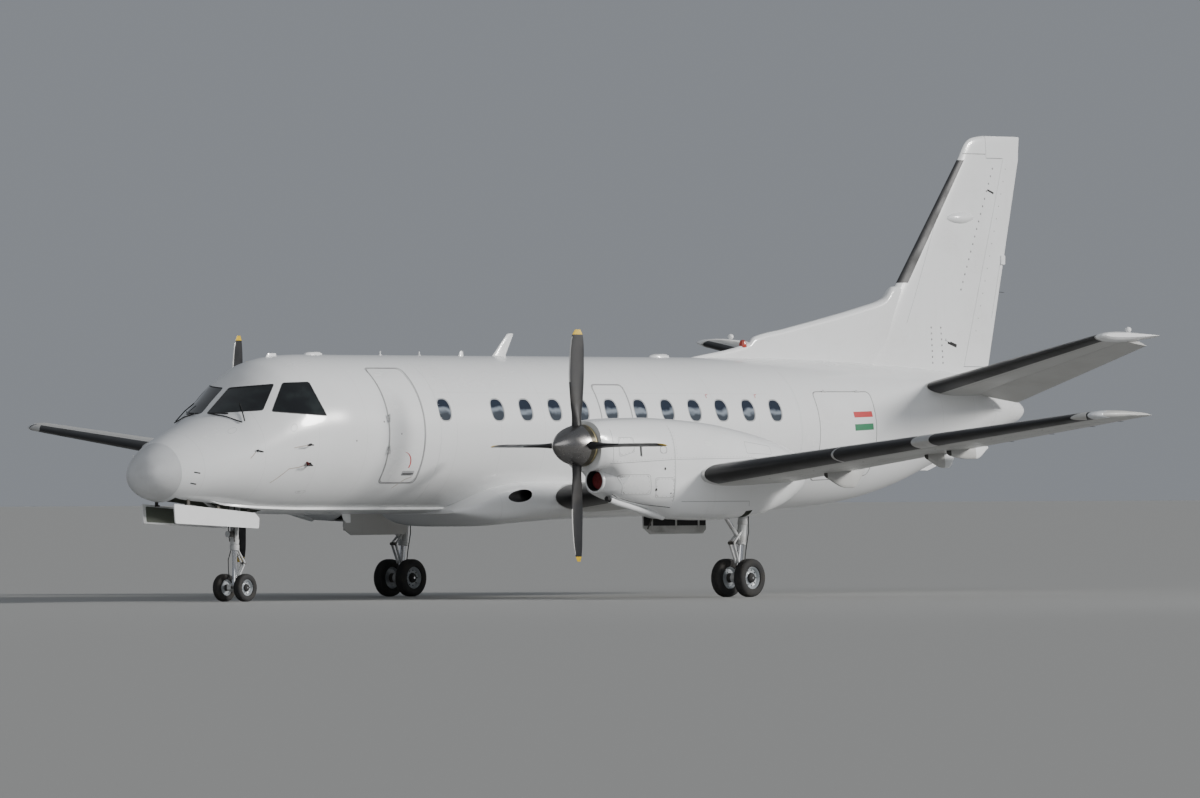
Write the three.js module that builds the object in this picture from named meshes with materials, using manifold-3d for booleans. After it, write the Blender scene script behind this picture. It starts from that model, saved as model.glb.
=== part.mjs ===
// Twin turboprop airliner, parked on its landing gear.
// Millimetres. X runs aft, Y to starboard and Z up. The floor is at Z = 0.
// Stations are distances aft of the nose tip, and xOf turns a station into X.
import * as THREE from "three";
import { mergeVertices } from "three/addons/utils/BufferGeometryUtils.js";
import Module from "manifold-3d";

const wasm = await Module();
wasm.setup();

// Driving dimensions of the whole aircraft
const LENGTH = 19730;
const SPAN = 21440;
const HALF_SPAN = SPAN / 2;
const BODY_RADIUS = 1155;
const BODY_SIDES = 32;
const NACELLE_Y = 3355;

// Clearances: pieces that sit on each other, and pieces that pass each other
const SEAT_GAP = 0.3;
const RUN_GAP = 9;

const xOf = (station) => station - LENGTH / 2;
const radians = THREE.MathUtils.degToRad;

// Fuselage sections. The columns are station, top, bottom, half width and height of the widest place.
const FUSELAGE_SECTIONS = [
  [0, 1850, 1750, 60, 1800],
  [50, 1975, 1640, 200, 1802],
  [150, 2095, 1545, 325, 1810],
  [350, 2235, 1460, 470, 1830],
  [650, 2385, 1412, 620, 1870],
  [1000, 2520, 1392, 755, 1935],
  [1380, 2680, 1365, 870, 2020],
  [1640, 2880, 1330, 935, 2090],
  [1900, 3085, 1300, 990, 2160],
  [2150, 3290, 1280, 1035, 2230],
  [2450, 3450, 1262, 1080, 2300],
  [2900, 3535, 1250, 1125, 2360],
  [3400, 3555, 1245, 1155, 2400],
  [12400, 3555, 1245, 1155, 2400],
  [13300, 3552, 1258, 1130, 2410],
  [14300, 3540, 1290, 1065, 2430],
  [15300, 3515, 1385, 965, 2470],
  [16300, 3470, 1580, 820, 2545],
  [17300, 3415, 1890, 650, 2660],
  [18300, 3330, 2210, 460, 2790],
  [18950, 3190, 2430, 330, 2840],
  [19350, 3030, 2545, 240, 2810],
  [19620, 2890, 2610, 170, 2770],
  [19700, 2830, 2660, 95, 2760],
];
const TAIL_END = 19700;
const RADOME_SEAM = 420;
const TAIL_CONE_SEAM = 18700;
// The fuselage is three sections, joined at these stations
const NOSE_SEAM = 5200;
const REAR_SEAM = 13250;

// Wing. Flaps and ailerons turn on hinges at a share of the chord.
const WING = {
  rootLead: 7430, rootChord: 2840, tipLead: 8560, tipChord: 1060,
  rootThick: 0.17, tipThick: 0.12, camber: 0.02,
  rootZ: 1290, dihedral: 7, incidence: 2, from: 850,
};
// The rounded tip. The columns are distance in from the tip, leading edge, chord and thickness share.
const TIP_ROWS = [
  [150, 8620, 1020, 0.12],
  [50, 8860, 830, 0.11],
  [0, 9250, 481, 0.09],
];
const AILERON = { spans: [7430, 10350], share: 0.72, brackets: [8100, 9700] };
const FLAP = { inner: [1420, 2830], outer: [3960, 7400], share: 0.71, lead: 10, hingeDrop: 45 };
// Hinge fairings: span, drop and aft reach of the lowest part, and aft reach of the tail, all from the hinge
const FLAP_KEELS = [
  { span: 2100, drop: 190, lowFrom: 260, lowTo: 420, tail: 800, tailRise: 60 },
  { span: 4900, drop: 170, lowFrom: 440, lowTo: 590, tail: 880, tailRise: 80 },
  { span: 6850, drop: 150, lowFrom: 370, lowTo: 480, tail: 660, tailRise: 60 },
  { span: 7270, drop: 75, lowFrom: 420, lowTo: 620, tail: 900, tailRise: 75 },
];
const KEEL = { half: 32, front: 28, slot: 60, armBack: 60, armUp: 90 };

// Fin sections. The columns are height, leading edge station, chord and thickness share.
const FIN_ROWS = [
  [2900, 15400, 3430, 0.075],
  [6650, 18270, 1440, 0.09],
  [6880, 18420, 1300, 0.08],
  [7000, 18800, 930, 0.05],
];
// Fillet ahead of the fin. The columns are station, top and half width.
const DORSAL_ROWS = [
  [11950, 3545, 30],
  [13340, 3790, 52],
  [13420, 3868, 54],
  [14170, 4008, 66],
  [15930, 4348, 86],
  [16440, 4478, 92],
  [16560, 4578, 84],
  [16650, 4660, 76],
  [17200, 4690, 40],
];
const DORSAL_LOW = 3200;
// Rudder: the heights of its ends, its hinge, its nose radii, and the horn that lies over the fin's rear
const RUDDER = {
  spans: [3440, 6664], hingeLow: [3550, 18415], hingeTop: [6650, 19330], radii: [78, 42],
  horn: 18875, hornGap: 18, brackets: [4200, 6050],
};

// Tailplane: leading edge stations and chords at the root and at the tip
const TAILPLANE = {
  rootLead: 16790, rootChord: 2390, tipLead: 16770, tipChord: 1180, tipSpan: 4130, from: 250,
  thick: 0.11, rootZ: 3000, dihedral: 12,
};
// Tip cap. The columns are span, leading edge, chord and thickness share.
const CAP_ROWS = [
  [4046, 16762, 1396, 0.11],
  [4140, 16775, 1375, 0.09],
  [4185, 16830, 1280, 0.05],
];
// Elevator: hinge stations at the root and at the tip, and how far it hangs when parked, in degrees
const ELEVATOR = { spans: [520, 4020], hingeRoot: 18180, hingeTip: 17450, droop: 14, brackets: [1300, 3200] };

// Landing gear. Wheels have a radius, a width and a distance from the leg's centre.
const NOSE_GEAR = { station: 2045, radius: 200, width: 125, offset: 205, axle: 26 };
const MAIN_GEAR = { station: 9200, radius: 280, width: 175, offset: 220, axle: 38 };
const AXLE_CLEAR = 0.8;

// Propellers
const PROP = {
  station: 5675, hubZ: 2215, spinnerRadius: 350, spinnerTip: 5130, spinnerBase: 5800, shaft: 70, blades: 4,
};

// Hinge brackets: an eye on an arm, with a pin through both cheeks of the moving piece
const PIN = { radius: 8, hole: 8.8, reach: 24, deep: 31, sides: 8 };
const EYE = { radius: 20, half: 8, slot: 15, slotDeep: 10, arm: 10, armRun: 160, sides: 8 };
const SLOT_SIDES = 10;
const NOSE_SIDES = 12;

// Doors in the fuselage. Angles are degrees above the body's widest line.
const DOOR_THICK = 40;
const PASSENGER_DOOR = { from: 4105, to: 4840, low: -37, high: 55, corner: 90, hingeX: 4080, hingeY: 1172 };
const CARGO_DOOR = { from: 13700, to: 15140, low: -38, high: 33, corner: 110 };
const HATCH = { from: 8740, to: 9400, low: 4, high: 38.5, corner: 90 };
const KNUCKLE = { radius: 10, length: 40, gap: 0.4, lug: 7, room: 8 };
// The entry behind the passenger door and the baggage hold behind the cargo door
const ENTRY = { from: 4135, to: 4810, floor: 1745, top: 3200, depth: 600 };
const HOLD = { from: 13500, to: 16150, floor: 1690, wall: 34 };

// Finishes, each with a colour, a roughness and a metalness
const finish = (color, roughness, metalness) => () => (
  new THREE.MeshStandardMaterial({ color, roughness, metalness })
);
const whitePaint = finish(0xe9ebec, 0.3, 0);
const greyPaint = finish(0xa9a7a0, 0.45, 0);
const radomePaint = finish(0xdcdedf, 0.35, 0);
const bladeGrey = finish(0x26272a, 0.4, 0.1);
const tyreRubber = finish(0x17171a, 0.85, 0);
const bareMetal = finish(0xb9bcbf, 0.4, 0.7);
const ironGrey = finish(0x55575a, 0.6, 0.5);

const craft = new THREE.Group();

function addMesh(name, solid, material) {
  const mesh = new THREE.Mesh(toGeometry(solid), material());
  mesh.name = name;
  craft.add(mesh);
}

// Solids and meshes
function toSolid(geometry) {
  const bare = geometry.clone();
  bare.deleteAttribute("normal");
  bare.deleteAttribute("uv");
  const merged = mergeVertices(bare, 1e-3);
  const mesh = new wasm.Mesh({
    numProp: 3,
    vertProperties: new Float32Array(merged.attributes.position.array),
    triVerts: new Uint32Array(merged.index.array),
  });
  return new wasm.Manifold(mesh);
}

function toGeometry(solid) {
  const mesh = solid.getMesh();
  const geometry = new THREE.BufferGeometry();
  geometry.setAttribute("position", new THREE.BufferAttribute(new Float32Array(mesh.vertProperties), 3));
  geometry.setIndex(new THREE.BufferAttribute(new Uint32Array(mesh.triVerts), 1));
  return geometry;
}

const join = (...solids) => solids.reduce((all, one) => all.add(one));
const mirrorSolid = (solid) => solid.mirror([0, 1, 0]);

// A closed skin over rings of points that all have the same count
function skin(rings) {
  const count = rings[0].length;
  const points = rings.flat();
  const triangles = [];
  for (let r = 0; r + 1 < rings.length; r += 1) {
    for (let k = 0; k < count; k += 1) {
      const a = r * count + k;
      const b = r * count + ((k + 1) % count);
      triangles.push([a, b, b + count], [a, b + count, a + count]);
    }
  }
  const cap = (start, flip) => {
    const ring = points.slice(start, start + count);
    const middle = [0, 1, 2].map((i) => ring.reduce((sum, p) => sum + p[i], 0) / count);
    const centre = points.push(middle) - 1;
    for (let k = 0; k < count; k += 1) {
      const a = start + k;
      const b = start + ((k + 1) % count);
      triangles.push(flip ? [b, a, centre] : [a, b, centre]);
    }
  };
  cap(0, true);
  cap((rings.length - 1) * count, false);
  let volume = 0;
  for (const [a, b, c] of triangles) {
    const [p, q, s] = [points[a], points[b], points[c]];
    volume += p[0] * (q[1] * s[2] - q[2] * s[1]) + p[1] * (q[2] * s[0] - q[0] * s[2]);
    volume += p[2] * (q[0] * s[1] - q[1] * s[0]);
  }
  const turned = volume < 0 ? triangles.map(([a, b, c]) => [a, c, b]) : triangles;
  const geometry = new THREE.BufferGeometry();
  geometry.setAttribute("position", new THREE.Float32BufferAttribute(points.flat(), 3));
  geometry.setIndex(turned.flat());
  return toSolid(geometry);
}

// Both sides alike: a skin over the starboard half's rings, and its mirror
function evenSkin(rings) {
  const half = skin(rings);
  return half.add(mirrorSolid(half));
}

function box(low, high) {
  const geometry = new THREE.BoxGeometry(high[0] - low[0], high[1] - low[1], high[2] - low[2]);
  geometry.translate((low[0] + high[0]) / 2, (low[1] + high[1]) / 2, (low[2] + high[2]) / 2);
  return toSolid(geometry);
}

// A round bar between two points
function bar(from, to, radius, endRadius = radius, sides = 12) {
  const start = new THREE.Vector3(...from);
  const end = new THREE.Vector3(...to);
  const along = end.clone().sub(start).normalize();
  const geometry = new THREE.CylinderGeometry(endRadius, radius, start.distanceTo(end), sides);
  geometry.applyQuaternion(new THREE.Quaternion().setFromUnitVectors(new THREE.Vector3(0, 1, 0), along));
  const middle = start.add(end).multiplyScalar(0.5);
  geometry.translate(middle.x, middle.y, middle.z);
  return toSolid(geometry);
}

// An outline in X and Z, thick along Y
function plate(outline, y0, y1) {
  const shape = new THREE.Shape(outline.map(([x, z]) => new THREE.Vector2(x, z)));
  const geometry = new THREE.ExtrudeGeometry(shape, { depth: y1 - y0, bevelEnabled: false });
  geometry.rotateX(Math.PI / 2);
  geometry.translate(0, y1, 0);
  return toSolid(geometry);
}

// A solid turned about the line through two points
function turnAbout(solid, from, to, degrees) {
  const axis = new THREE.Vector3(...to).sub(new THREE.Vector3(...from)).normalize();
  const matrix = new THREE.Matrix4().makeTranslation(...from);
  matrix.multiply(new THREE.Matrix4().makeRotationAxis(axis, radians(degrees)));
  matrix.multiply(new THREE.Matrix4().makeTranslation(...from.map((v) => -v)));
  return solid.transform(matrix.elements);
}

// Steady curve through a table's columns, by a monotone cubic
function columnAt(table, column, at) {
  const last = table.length - 1;
  if (at <= table[0][0]) return table[0][column];
  if (at >= table[last][0]) return table[last][column];
  let i = 0;
  while (table[i + 1][0] < at) i += 1;
  const slope = (k) => (table[k + 1][column] - table[k][column]) / (table[k + 1][0] - table[k][0]);
  const tangent = (k) => {
    if (k === 0) return slope(0);
    if (k === last) return slope(last - 1);
    const [before, after] = [slope(k - 1), slope(k)];
    return before * after <= 0 ? 0 : (2 * before * after) / (before + after);
  };
  const step = table[i + 1][0] - table[i][0];
  const t = (at - table[i][0]) / step;
  const [p, q] = [table[i][column], table[i + 1][column]];
  const rise = step * (t * (1 - t) * (1 - t) * tangent(i) - t * t * (1 - t) * tangent(i + 1));
  return p * (1 + 2 * t) * (1 - t) * (1 - t) + q * t * t * (3 - 2 * t) + rise;
}
const LEAST_STEP = 20;
const stationsBetween = (table, from, to) => {
  const inner = table.map((row) => row[0]).filter((s) => s > from + LEAST_STEP && s < to - LEAST_STEP);
  return [from, ...inner, to];
};

// Fuselage skin point at a station and an angle round the body, 0 to starboard and 90 up
function bodyPoint(station, angle, depth = 0) {
  const top = columnAt(FUSELAGE_SECTIONS, 1, station) - depth;
  const bottom = columnAt(FUSELAGE_SECTIONS, 2, station) + depth;
  const half = columnAt(FUSELAGE_SECTIONS, 3, station) - depth;
  const wide = columnAt(FUSELAGE_SECTIONS, 4, station);
  const rise = Math.sin(angle) > 0 ? top - wide : wide - bottom;
  return [xOf(station), half * Math.cos(angle), wide + rise * Math.sin(angle)];
}

// The starboard half of a section, from the keel up to the crown
function bodyRing(station, depth) {
  const ring = [];
  for (let k = 0; k <= BODY_SIDES / 2; k += 1) {
    const point = bodyPoint(station, (2 * Math.PI * k) / BODY_SIDES - Math.PI / 2, depth);
    if (k === 0 || k === BODY_SIDES / 2) point[1] = 0;
    ring.push(point);
  }
  return ring;
}

const bodyLoft = (from, to, depth = 0) => (
  evenSkin(stationsBetween(FUSELAGE_SECTIONS, from, to).map((s) => bodyRing(s, depth)))
);

// Half thickness of an aerofoil at a share of its chord, for a chord of one
const foilHalf = (t, thick) => (
  5 * thick * (0.2969 * Math.sqrt(t) - 0.126 * t - 0.3516 * t * t + 0.2843 * t ** 3 - 0.1015 * t ** 4)
);

// Aerofoil outline from the trailing edge over the top to the nose and back below
const FOIL_STEPS = [1, 0.86, 0.72, 0.55, 0.38, 0.22, 0.1, 0.04, 0.01];
function foilRing(chord, thick, camber) {
  const mean = (t) => 4 * camber * t * (1 - t);
  const upper = FOIL_STEPS.map((t) => [t * chord, (mean(t) + foilHalf(t, thick)) * chord]);
  const lower = [...FOIL_STEPS].reverse().map((t) => [t * chord, (mean(t) - foilHalf(t, thick)) * chord]);
  return [...upper, [0, 0], ...lower];
}

// A flying surface in its own frame: X aft, Y outboard, Z up. Rows hold span, lead, chord, thick and camber.
function foilLoft(rows, incidence = 0) {
  const turn = radians(incidence);
  return skin(rows.map(([span, lead, chord, thick, camber]) => {
    const pivot = chord / 4;
    return foilRing(chord, thick, camber).map(([x, z]) => {
      const dx = x - pivot;
      return [
        xOf(lead) + pivot + dx * Math.cos(turn) + z * Math.sin(turn),
        span,
        z * Math.cos(turn) - dx * Math.sin(turn),
      ];
    });
  }));
}

// Points on a straight hinge line, by span
const onLine = ([from, to]) => (span) => {
  const t = (span - from[1]) / (to[1] - from[1]);
  return [0, 1, 2].map((i) => from[i] + t * (to[i] - from[i]));
};

// Cuts a control surface out of a flying surface and hangs it on its brackets.
// The hinge runs from one point to another in the surface's frame.
function cutControl(blank, { spans, hinge, radii, brackets }) {
  const [from, to] = spans;
  const at = onLine(hinge);
  const deep = 700;
  const far = 2500;
  const radiusAt = (span) => radii[0] + ((span - from) / (to - from)) * (radii[1] - radii[0]);
  const region = (y0, y1, grow) => {
    const ends = [at(y0), at(y1)];
    const nose = bar(ends[0], ends[1], radiusAt(y0) + grow, radiusAt(y1) + grow, NOSE_SIDES);
    const rear = skin(ends.map(([x, y, z]) => [
      [x, y, z - deep], [x + far, y, z - deep], [x + far, y, z + deep], [x, y, z + deep],
    ]));
    return rear.add(nose);
  };
  let moving = blank.intersect(region(from + RUN_GAP, to - RUN_GAP, 0));
  let fixed = blank.subtract(region(from, to, RUN_GAP));
  const along = new THREE.Vector3(...hinge[1]).sub(new THREE.Vector3(...hinge[0])).normalize();
  const forward = new THREE.Vector3(-1, 0, 0).projectOnPlane(along).setLength(EYE.armRun);
  for (const span of brackets) {
    const across = (half, radius, sides) => bar(at(span - half), at(span + half), radius, radius, sides);
    const eye = new THREE.Vector3(...at(span));
    const slot = across(EYE.slot, radiusAt(span) + EYE.slotDeep, SLOT_SIDES);
    const arm = bar(eye.clone().add(forward).toArray(), eye.toArray(), EYE.arm, EYE.arm, EYE.sides);
    moving = moving.subtract(slot).subtract(across(PIN.deep, PIN.hole, PIN.sides));
    fixed = join(fixed, arm, across(EYE.half, EYE.radius, EYE.sides), across(PIN.reach, PIN.radius, PIN.sides));
  }
  return [fixed, moving];
}

const placeSurface = (solid, dihedral, z) => solid.rotate([dihedral, 0, 0]).translate([0, 0, z]);

// Wing, starboard side first
const wingAt = (span) => {
  const t = span / HALF_SPAN;
  return {
    lead: WING.rootLead + t * (WING.tipLead - WING.rootLead),
    chord: WING.rootChord + t * (WING.tipChord - WING.rootChord),
    thick: WING.rootThick + t * (WING.tipThick - WING.rootThick),
  };
};
const wingRow = (span) => {
  const { lead, chord, thick } = wingAt(span);
  return [span, lead, chord, thick, WING.camber];
};
const WING_RUN = HALF_SPAN / Math.cos(radians(WING.dihedral));
const TIP_FROM = 330;
const wingSpans = [WING.from, 4000, 7000, WING_RUN - TIP_FROM];
const wingBlank = foilLoft([
  ...wingSpans.map(wingRow),
  ...TIP_ROWS.map(([inward, lead, chord, thick]) => [WING_RUN - inward, lead, chord, thick, WING.camber]),
], WING.incidence);
// A point of the wing's mean line at a span and a chord share, in the wing's own frame
function wingMean(span, share) {
  const { lead, chord } = wingAt(span);
  const turn = radians(WING.incidence);
  const z = 4 * WING.camber * share * (1 - share) * chord;
  const dx = (share - 0.25) * chord;
  return [
    xOf(lead) + chord / 4 + dx * Math.cos(turn) + z * Math.sin(turn),
    span,
    z * Math.cos(turn) - dx * Math.sin(turn),
  ];
}
const wingHalf = (span, share) => foilHalf(share, wingAt(span).thick) * wingAt(span).chord;
const [wingNoAileron, aileron] = cutControl(wingBlank, {
  ...AILERON,
  hinge: AILERON.spans.map((span) => wingMean(span, AILERON.share)),
  radii: AILERON.spans.map((span) => wingHalf(span, AILERON.share)),
});

// Flaps drop on hinges under the wing's rear
const flapHinge = onLine([FLAP.inner[0], FLAP.outer[1]].map((span) => {
  const [x, y, z] = wingMean(span, FLAP.share);
  return [x + FLAP.lead, y, z - wingHalf(span, FLAP.share) - FLAP.hingeDrop];
}));
function flapRegion([from, to], grow) {
  const deep = 600;
  const far = 2200;
  return skin([from - grow, to + grow].map((y) => {
    const [x] = wingMean(y, FLAP.share);
    return [[x - grow, y, -deep], [x + far, y, -deep], [x + far, y, deep], [x - grow, y, deep]];
  }));
}
// A hinge fairing is a keel under the flap, slotted at its front for the wing's bracket
function flapKeel({ span, drop, lowFrom, lowTo, tail, tailRise }) {
  const [x, , z] = flapHinge(span);
  const across = (half, radius, sides) => (
    bar(flapHinge(span - half), flapHinge(span + half), radius, radius, sides)
  );
  const keel = plate([
    [x, z - KEEL.front * 0.7], [x + lowFrom, z - drop], [x + lowTo, z - drop], [x + tail, z + tailRise],
    [x + tail, z + tailRise + 20], [x + lowTo, z + 70], [x + 200, z + 110], [x + 20, z + 60],
  ], span - KEEL.half, span + KEEL.half);
  return join(keel, across(KEEL.half, KEEL.front, SLOT_SIDES))
    .subtract(across(KEEL.half + PIN.radius, PIN.hole, PIN.sides));
}
function flapBracket({ span }) {
  const [x, y, z] = flapHinge(span);
  const across = (half, radius, sides) => (
    bar(flapHinge(span - half), flapHinge(span + half), radius, radius, sides)
  );
  const arm = bar([x, y, z], [x - KEEL.armBack, y, z + KEEL.armUp], EYE.arm, EYE.arm, EYE.sides);
  return join(arm, across(EYE.half, EYE.radius, EYE.sides), across(PIN.reach + 3, PIN.radius, PIN.sides));
}
let wingSolid = wingNoAileron;
const [innerFlapSolid, outerFlapSolid] = [FLAP.inner, FLAP.outer].map((spans) => {
  let flap = wingBlank.intersect(flapRegion(spans, 0));
  wingSolid = wingSolid.subtract(flapRegion(spans, RUN_GAP));
  for (const keel of FLAP_KEELS.filter(({ span }) => span > spans[0] && span < spans[1])) {
    const [x, y, z] = flapHinge(keel.span);
    const slot = box([x - 50, y - EYE.slot, z - KEEL.slot], [x + KEEL.slot, y + EYE.slot, z + KEEL.armUp]);
    flap = flap.add(flapKeel(keel)).subtract(slot);
    wingSolid = wingSolid.add(flapBracket(keel));
  }
  return flap;
});
const onWing = (solid) => placeSurface(solid, WING.dihedral, WING.rootZ);

// Belly fairing that carries the wing roots. The columns are station, half width, top and bottom.
const FAIRING_SECTIONS = [
  [5950, 700, 1300, 1240],
  [6250, 1000, 1480, 1130],
  [6600, 1180, 1640, 1052],
  [7200, 1250, 1720, 1085],
  [8300, 1250, 1720, 1140],
  [9600, 1250, 1700, 1165],
  [10600, 1180, 1620, 1190],
  [11400, 900, 1450, 1215],
  [11800, 600, 1300, 1245],
];
const FAIRING_SIDES = 24;
const FAIRING_ROUND = 0.55;
const squircle = (value, power) => Math.sign(value) * Math.abs(value) ** power;
function fairingLoft(grow) {
  return evenSkin(FAIRING_SECTIONS.map(([station, half, top, bottom]) => {
    const ring = [];
    const middle = (top + bottom) / 2;
    for (let k = 0; k <= FAIRING_SIDES / 2; k += 1) {
      const angle = (2 * Math.PI * k) / FAIRING_SIDES - Math.PI / 2;
      const edge = k === 0 || k === FAIRING_SIDES / 2;
      const y = edge ? 0 : squircle(Math.cos(angle), FAIRING_ROUND) * (half + grow);
      const z = middle + squircle(Math.sin(angle), FAIRING_ROUND) * ((top - bottom) / 2 + grow);
      ring.push([xOf(station), y, z]);
    }
    return ring;
  }));
}
const bodyBlank = bodyLoft(0, TAIL_END);
const bodySeat = bodyLoft(3000, TAIL_END, -SEAT_GAP);
const fairing = fairingLoft(0).subtract(bodySeat);

// Wing roots end against the fairing and the fuselage
const outboardOnly = box([-9000, 900, -2000], [9000, 12000, 6000]);
const JACK_PAD = { station: 8600, y: 4200, low: 1650, high: 1780, radius: 45 };
const jackPad = bar(
  [xOf(JACK_PAD.station), JACK_PAD.y, JACK_PAD.low],
  [xOf(JACK_PAD.station), JACK_PAD.y, JACK_PAD.high],
  JACK_PAD.radius,
);
const wing = onWing(wingSolid)
  .subtract(fairingLoft(SEAT_GAP))
  .subtract(bodySeat)
  .intersect(outboardOnly)
  .add(jackPad);

// Nacelle outline. The columns are station, top, bottom, half width and roundness of the lower half.
const NACELLE_SECTIONS = [
  [5815, 2566, 1850, 352, 0.78],
  [5950, 2590, 1640, 385, 0.78],
  [6300, 2608, 1450, 420, 0.78],
  [7050, 2618, 1285, 465, 0.7],
  [7500, 2602, 1150, 480, 0.55],
  [8300, 2550, 1125, 480, 0.55],
  [9250, 2410, 1170, 460, 0.6],
  [9900, 2270, 1290, 380, 0.8],
  [10450, 2110, 1500, 220, 1],
  [10700, 2000, 1700, 90, 1],
];
const NACELLE_END = 10700;
const NACELLE_FRONT = 5815;
const NACELLE_SIDES = 24;
const CROWN_ROUND = 0.8;
function nacelleRing(station, grow) {
  const [top, bottom, half, low] = [1, 2, 3, 4].map((column) => columnAt(NACELLE_SECTIONS, column, station));
  const ring = [];
  const middle = (top + bottom) / 2;
  for (let k = 0; k < NACELLE_SIDES; k += 1) {
    const angle = (2 * Math.PI * k) / NACELLE_SIDES;
    const round = Math.sin(angle) > 0 ? Math.max(CROWN_ROUND, Math.min(low, 1)) : low;
    const y = NACELLE_Y + squircle(Math.cos(angle), round) * (half + grow);
    const z = middle + squircle(Math.sin(angle), round) * ((top - bottom) / 2 + grow);
    ring.push([xOf(station), y, z]);
  }
  return ring;
}
const nacelleLoft = (from, to, grow = 0) => (
  skin(stationsBetween(NACELLE_SECTIONS, from, to).map((s) => nacelleRing(s, grow)))
);
const COWL_SEAM = 7300;
const ENGINE = { from: 6180, to: 7299.7, half: 270, low: 1750, high: 2400, clear: 50 };
const engineBay = box(
  [xOf(ENGINE.from) - ENGINE.clear, NACELLE_Y - ENGINE.half - ENGINE.clear, ENGINE.low - ENGINE.clear],
  [xOf(COWL_SEAM) + 10, NACELLE_Y + ENGINE.half + ENGINE.clear, ENGINE.high + ENGINE.clear],
);
const engine = box(
  [xOf(ENGINE.from), NACELLE_Y - ENGINE.half, ENGINE.low],
  [xOf(ENGINE.to), NACELLE_Y + ENGINE.half, ENGINE.high],
);
const INTAKE = {
  station: 5950, z: 1662, radius: 150, endRadius: 120, depth: 420,
  lip: 190, lipEnd: 165, lipLength: 500, sink: 10,
};
const intakeAt = (station, sink) => [xOf(station), NACELLE_Y, INTAKE.z + sink];
const intakeLip = bar(
  intakeAt(INTAKE.station, 0), intakeAt(INTAKE.station + INTAKE.lipLength, INTAKE.sink), INTAKE.lip, INTAKE.lipEnd,
);
const intakeHole = bar(
  intakeAt(INTAKE.station - 30, 0), intakeAt(INTAKE.station + INTAKE.depth, INTAKE.sink),
  INTAKE.radius, INTAKE.endRadius,
);
const SHAFT_CLEAR = 1.7;
const shaftBore = bar(
  [xOf(NACELLE_FRONT) - 100, NACELLE_Y, PROP.hubZ], [xOf(ENGINE.from), NACELLE_Y, PROP.hubZ],
  PROP.shaft + SHAFT_CLEAR, PROP.shaft + SHAFT_CLEAR, 20,
);
const cowl = nacelleLoft(NACELLE_FRONT, COWL_SEAM)
  .add(intakeLip)
  .subtract(engineBay)
  .subtract(intakeHole)
  .subtract(shaftBore);

// The main wheel bay under the rear nacelle. Its outer door is shut and its inner door hangs open.
const WHEEL_BAY = { from: 7520, to: 9100, doorTo: 8950, half: 375, top: 1480, split: 8 };
const WING_BLANK_GAP = 0.4;
const wheelBay = box(
  [xOf(WHEEL_BAY.from), NACELLE_Y - WHEEL_BAY.half, 900],
  [xOf(WHEEL_BAY.to), NACELLE_Y + WHEEL_BAY.half, WHEEL_BAY.top],
);
const wingGrown = onWing(foilLoft(
  wingSpans.slice(0, 3).map(wingRow).map(([span, lead, chord, thick, camber]) => (
    [span, lead - WING_BLANK_GAP, chord + 2 * WING_BLANK_GAP, thick + (3 * WING_BLANK_GAP) / chord, camber]
  )),
  WING.incidence,
));
const LEG_LEAN = 130;
const LEG_TOP = 1290;
const MAIN_X = xOf(MAIN_GEAR.station);
const legAt = (z) => [MAIN_X + (LEG_LEAN * (z - MAIN_GEAR.radius)) / (LEG_TOP - MAIN_GEAR.radius), z];
const [socketX, socketZ] = legAt(LEG_TOP + 0.4);
const LEG_RADIUS = 72;
const legSocket = bar(
  [legAt(700)[0], NACELLE_Y, 700], [socketX, NACELLE_Y, socketZ], LEG_RADIUS + 1, LEG_RADIUS + 1,
);
const nacelle = nacelleLoft(COWL_SEAM + SEAT_GAP, NACELLE_END)
  .subtract(wheelBay)
  .subtract(wingGrown)
  .subtract(legSocket);
const BAY_DOOR_THICK = 22;
const BRACE_NOTCH = { run: 150, half: 46 };
const outerBayDoor = nacelleLoft(COWL_SEAM, NACELLE_END)
  .subtract(nacelleLoft(COWL_SEAM - 50, NACELLE_END, -BAY_DOOR_THICK))
  .intersect(box(
    [xOf(WHEEL_BAY.from) + SEAT_GAP, NACELLE_Y + WHEEL_BAY.split, 900],
    [xOf(WHEEL_BAY.doorTo), NACELLE_Y + WHEEL_BAY.half - SEAT_GAP, WHEEL_BAY.top - 100],
  ))
  .subtract(box(
    [xOf(WHEEL_BAY.doorTo) - BRACE_NOTCH.run, NACELLE_Y, 900],
    [xOf(WHEEL_BAY.doorTo) + 10, NACELLE_Y + BRACE_NOTCH.half, WHEEL_BAY.top],
  ));
const innerDoorY = NACELLE_Y - WHEEL_BAY.half - BAY_DOOR_THICK;
const innerBayDoor = plate([
  [xOf(7530), 1330], [xOf(8900), 1330], [xOf(8930), 1000], [xOf(8870), 930], [xOf(7700), 925], [xOf(7540), 1020],
], innerDoorY, innerDoorY + BAY_DOOR_THICK).subtract(nacelleLoft(COWL_SEAM, NACELLE_END, SEAT_GAP));

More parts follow.
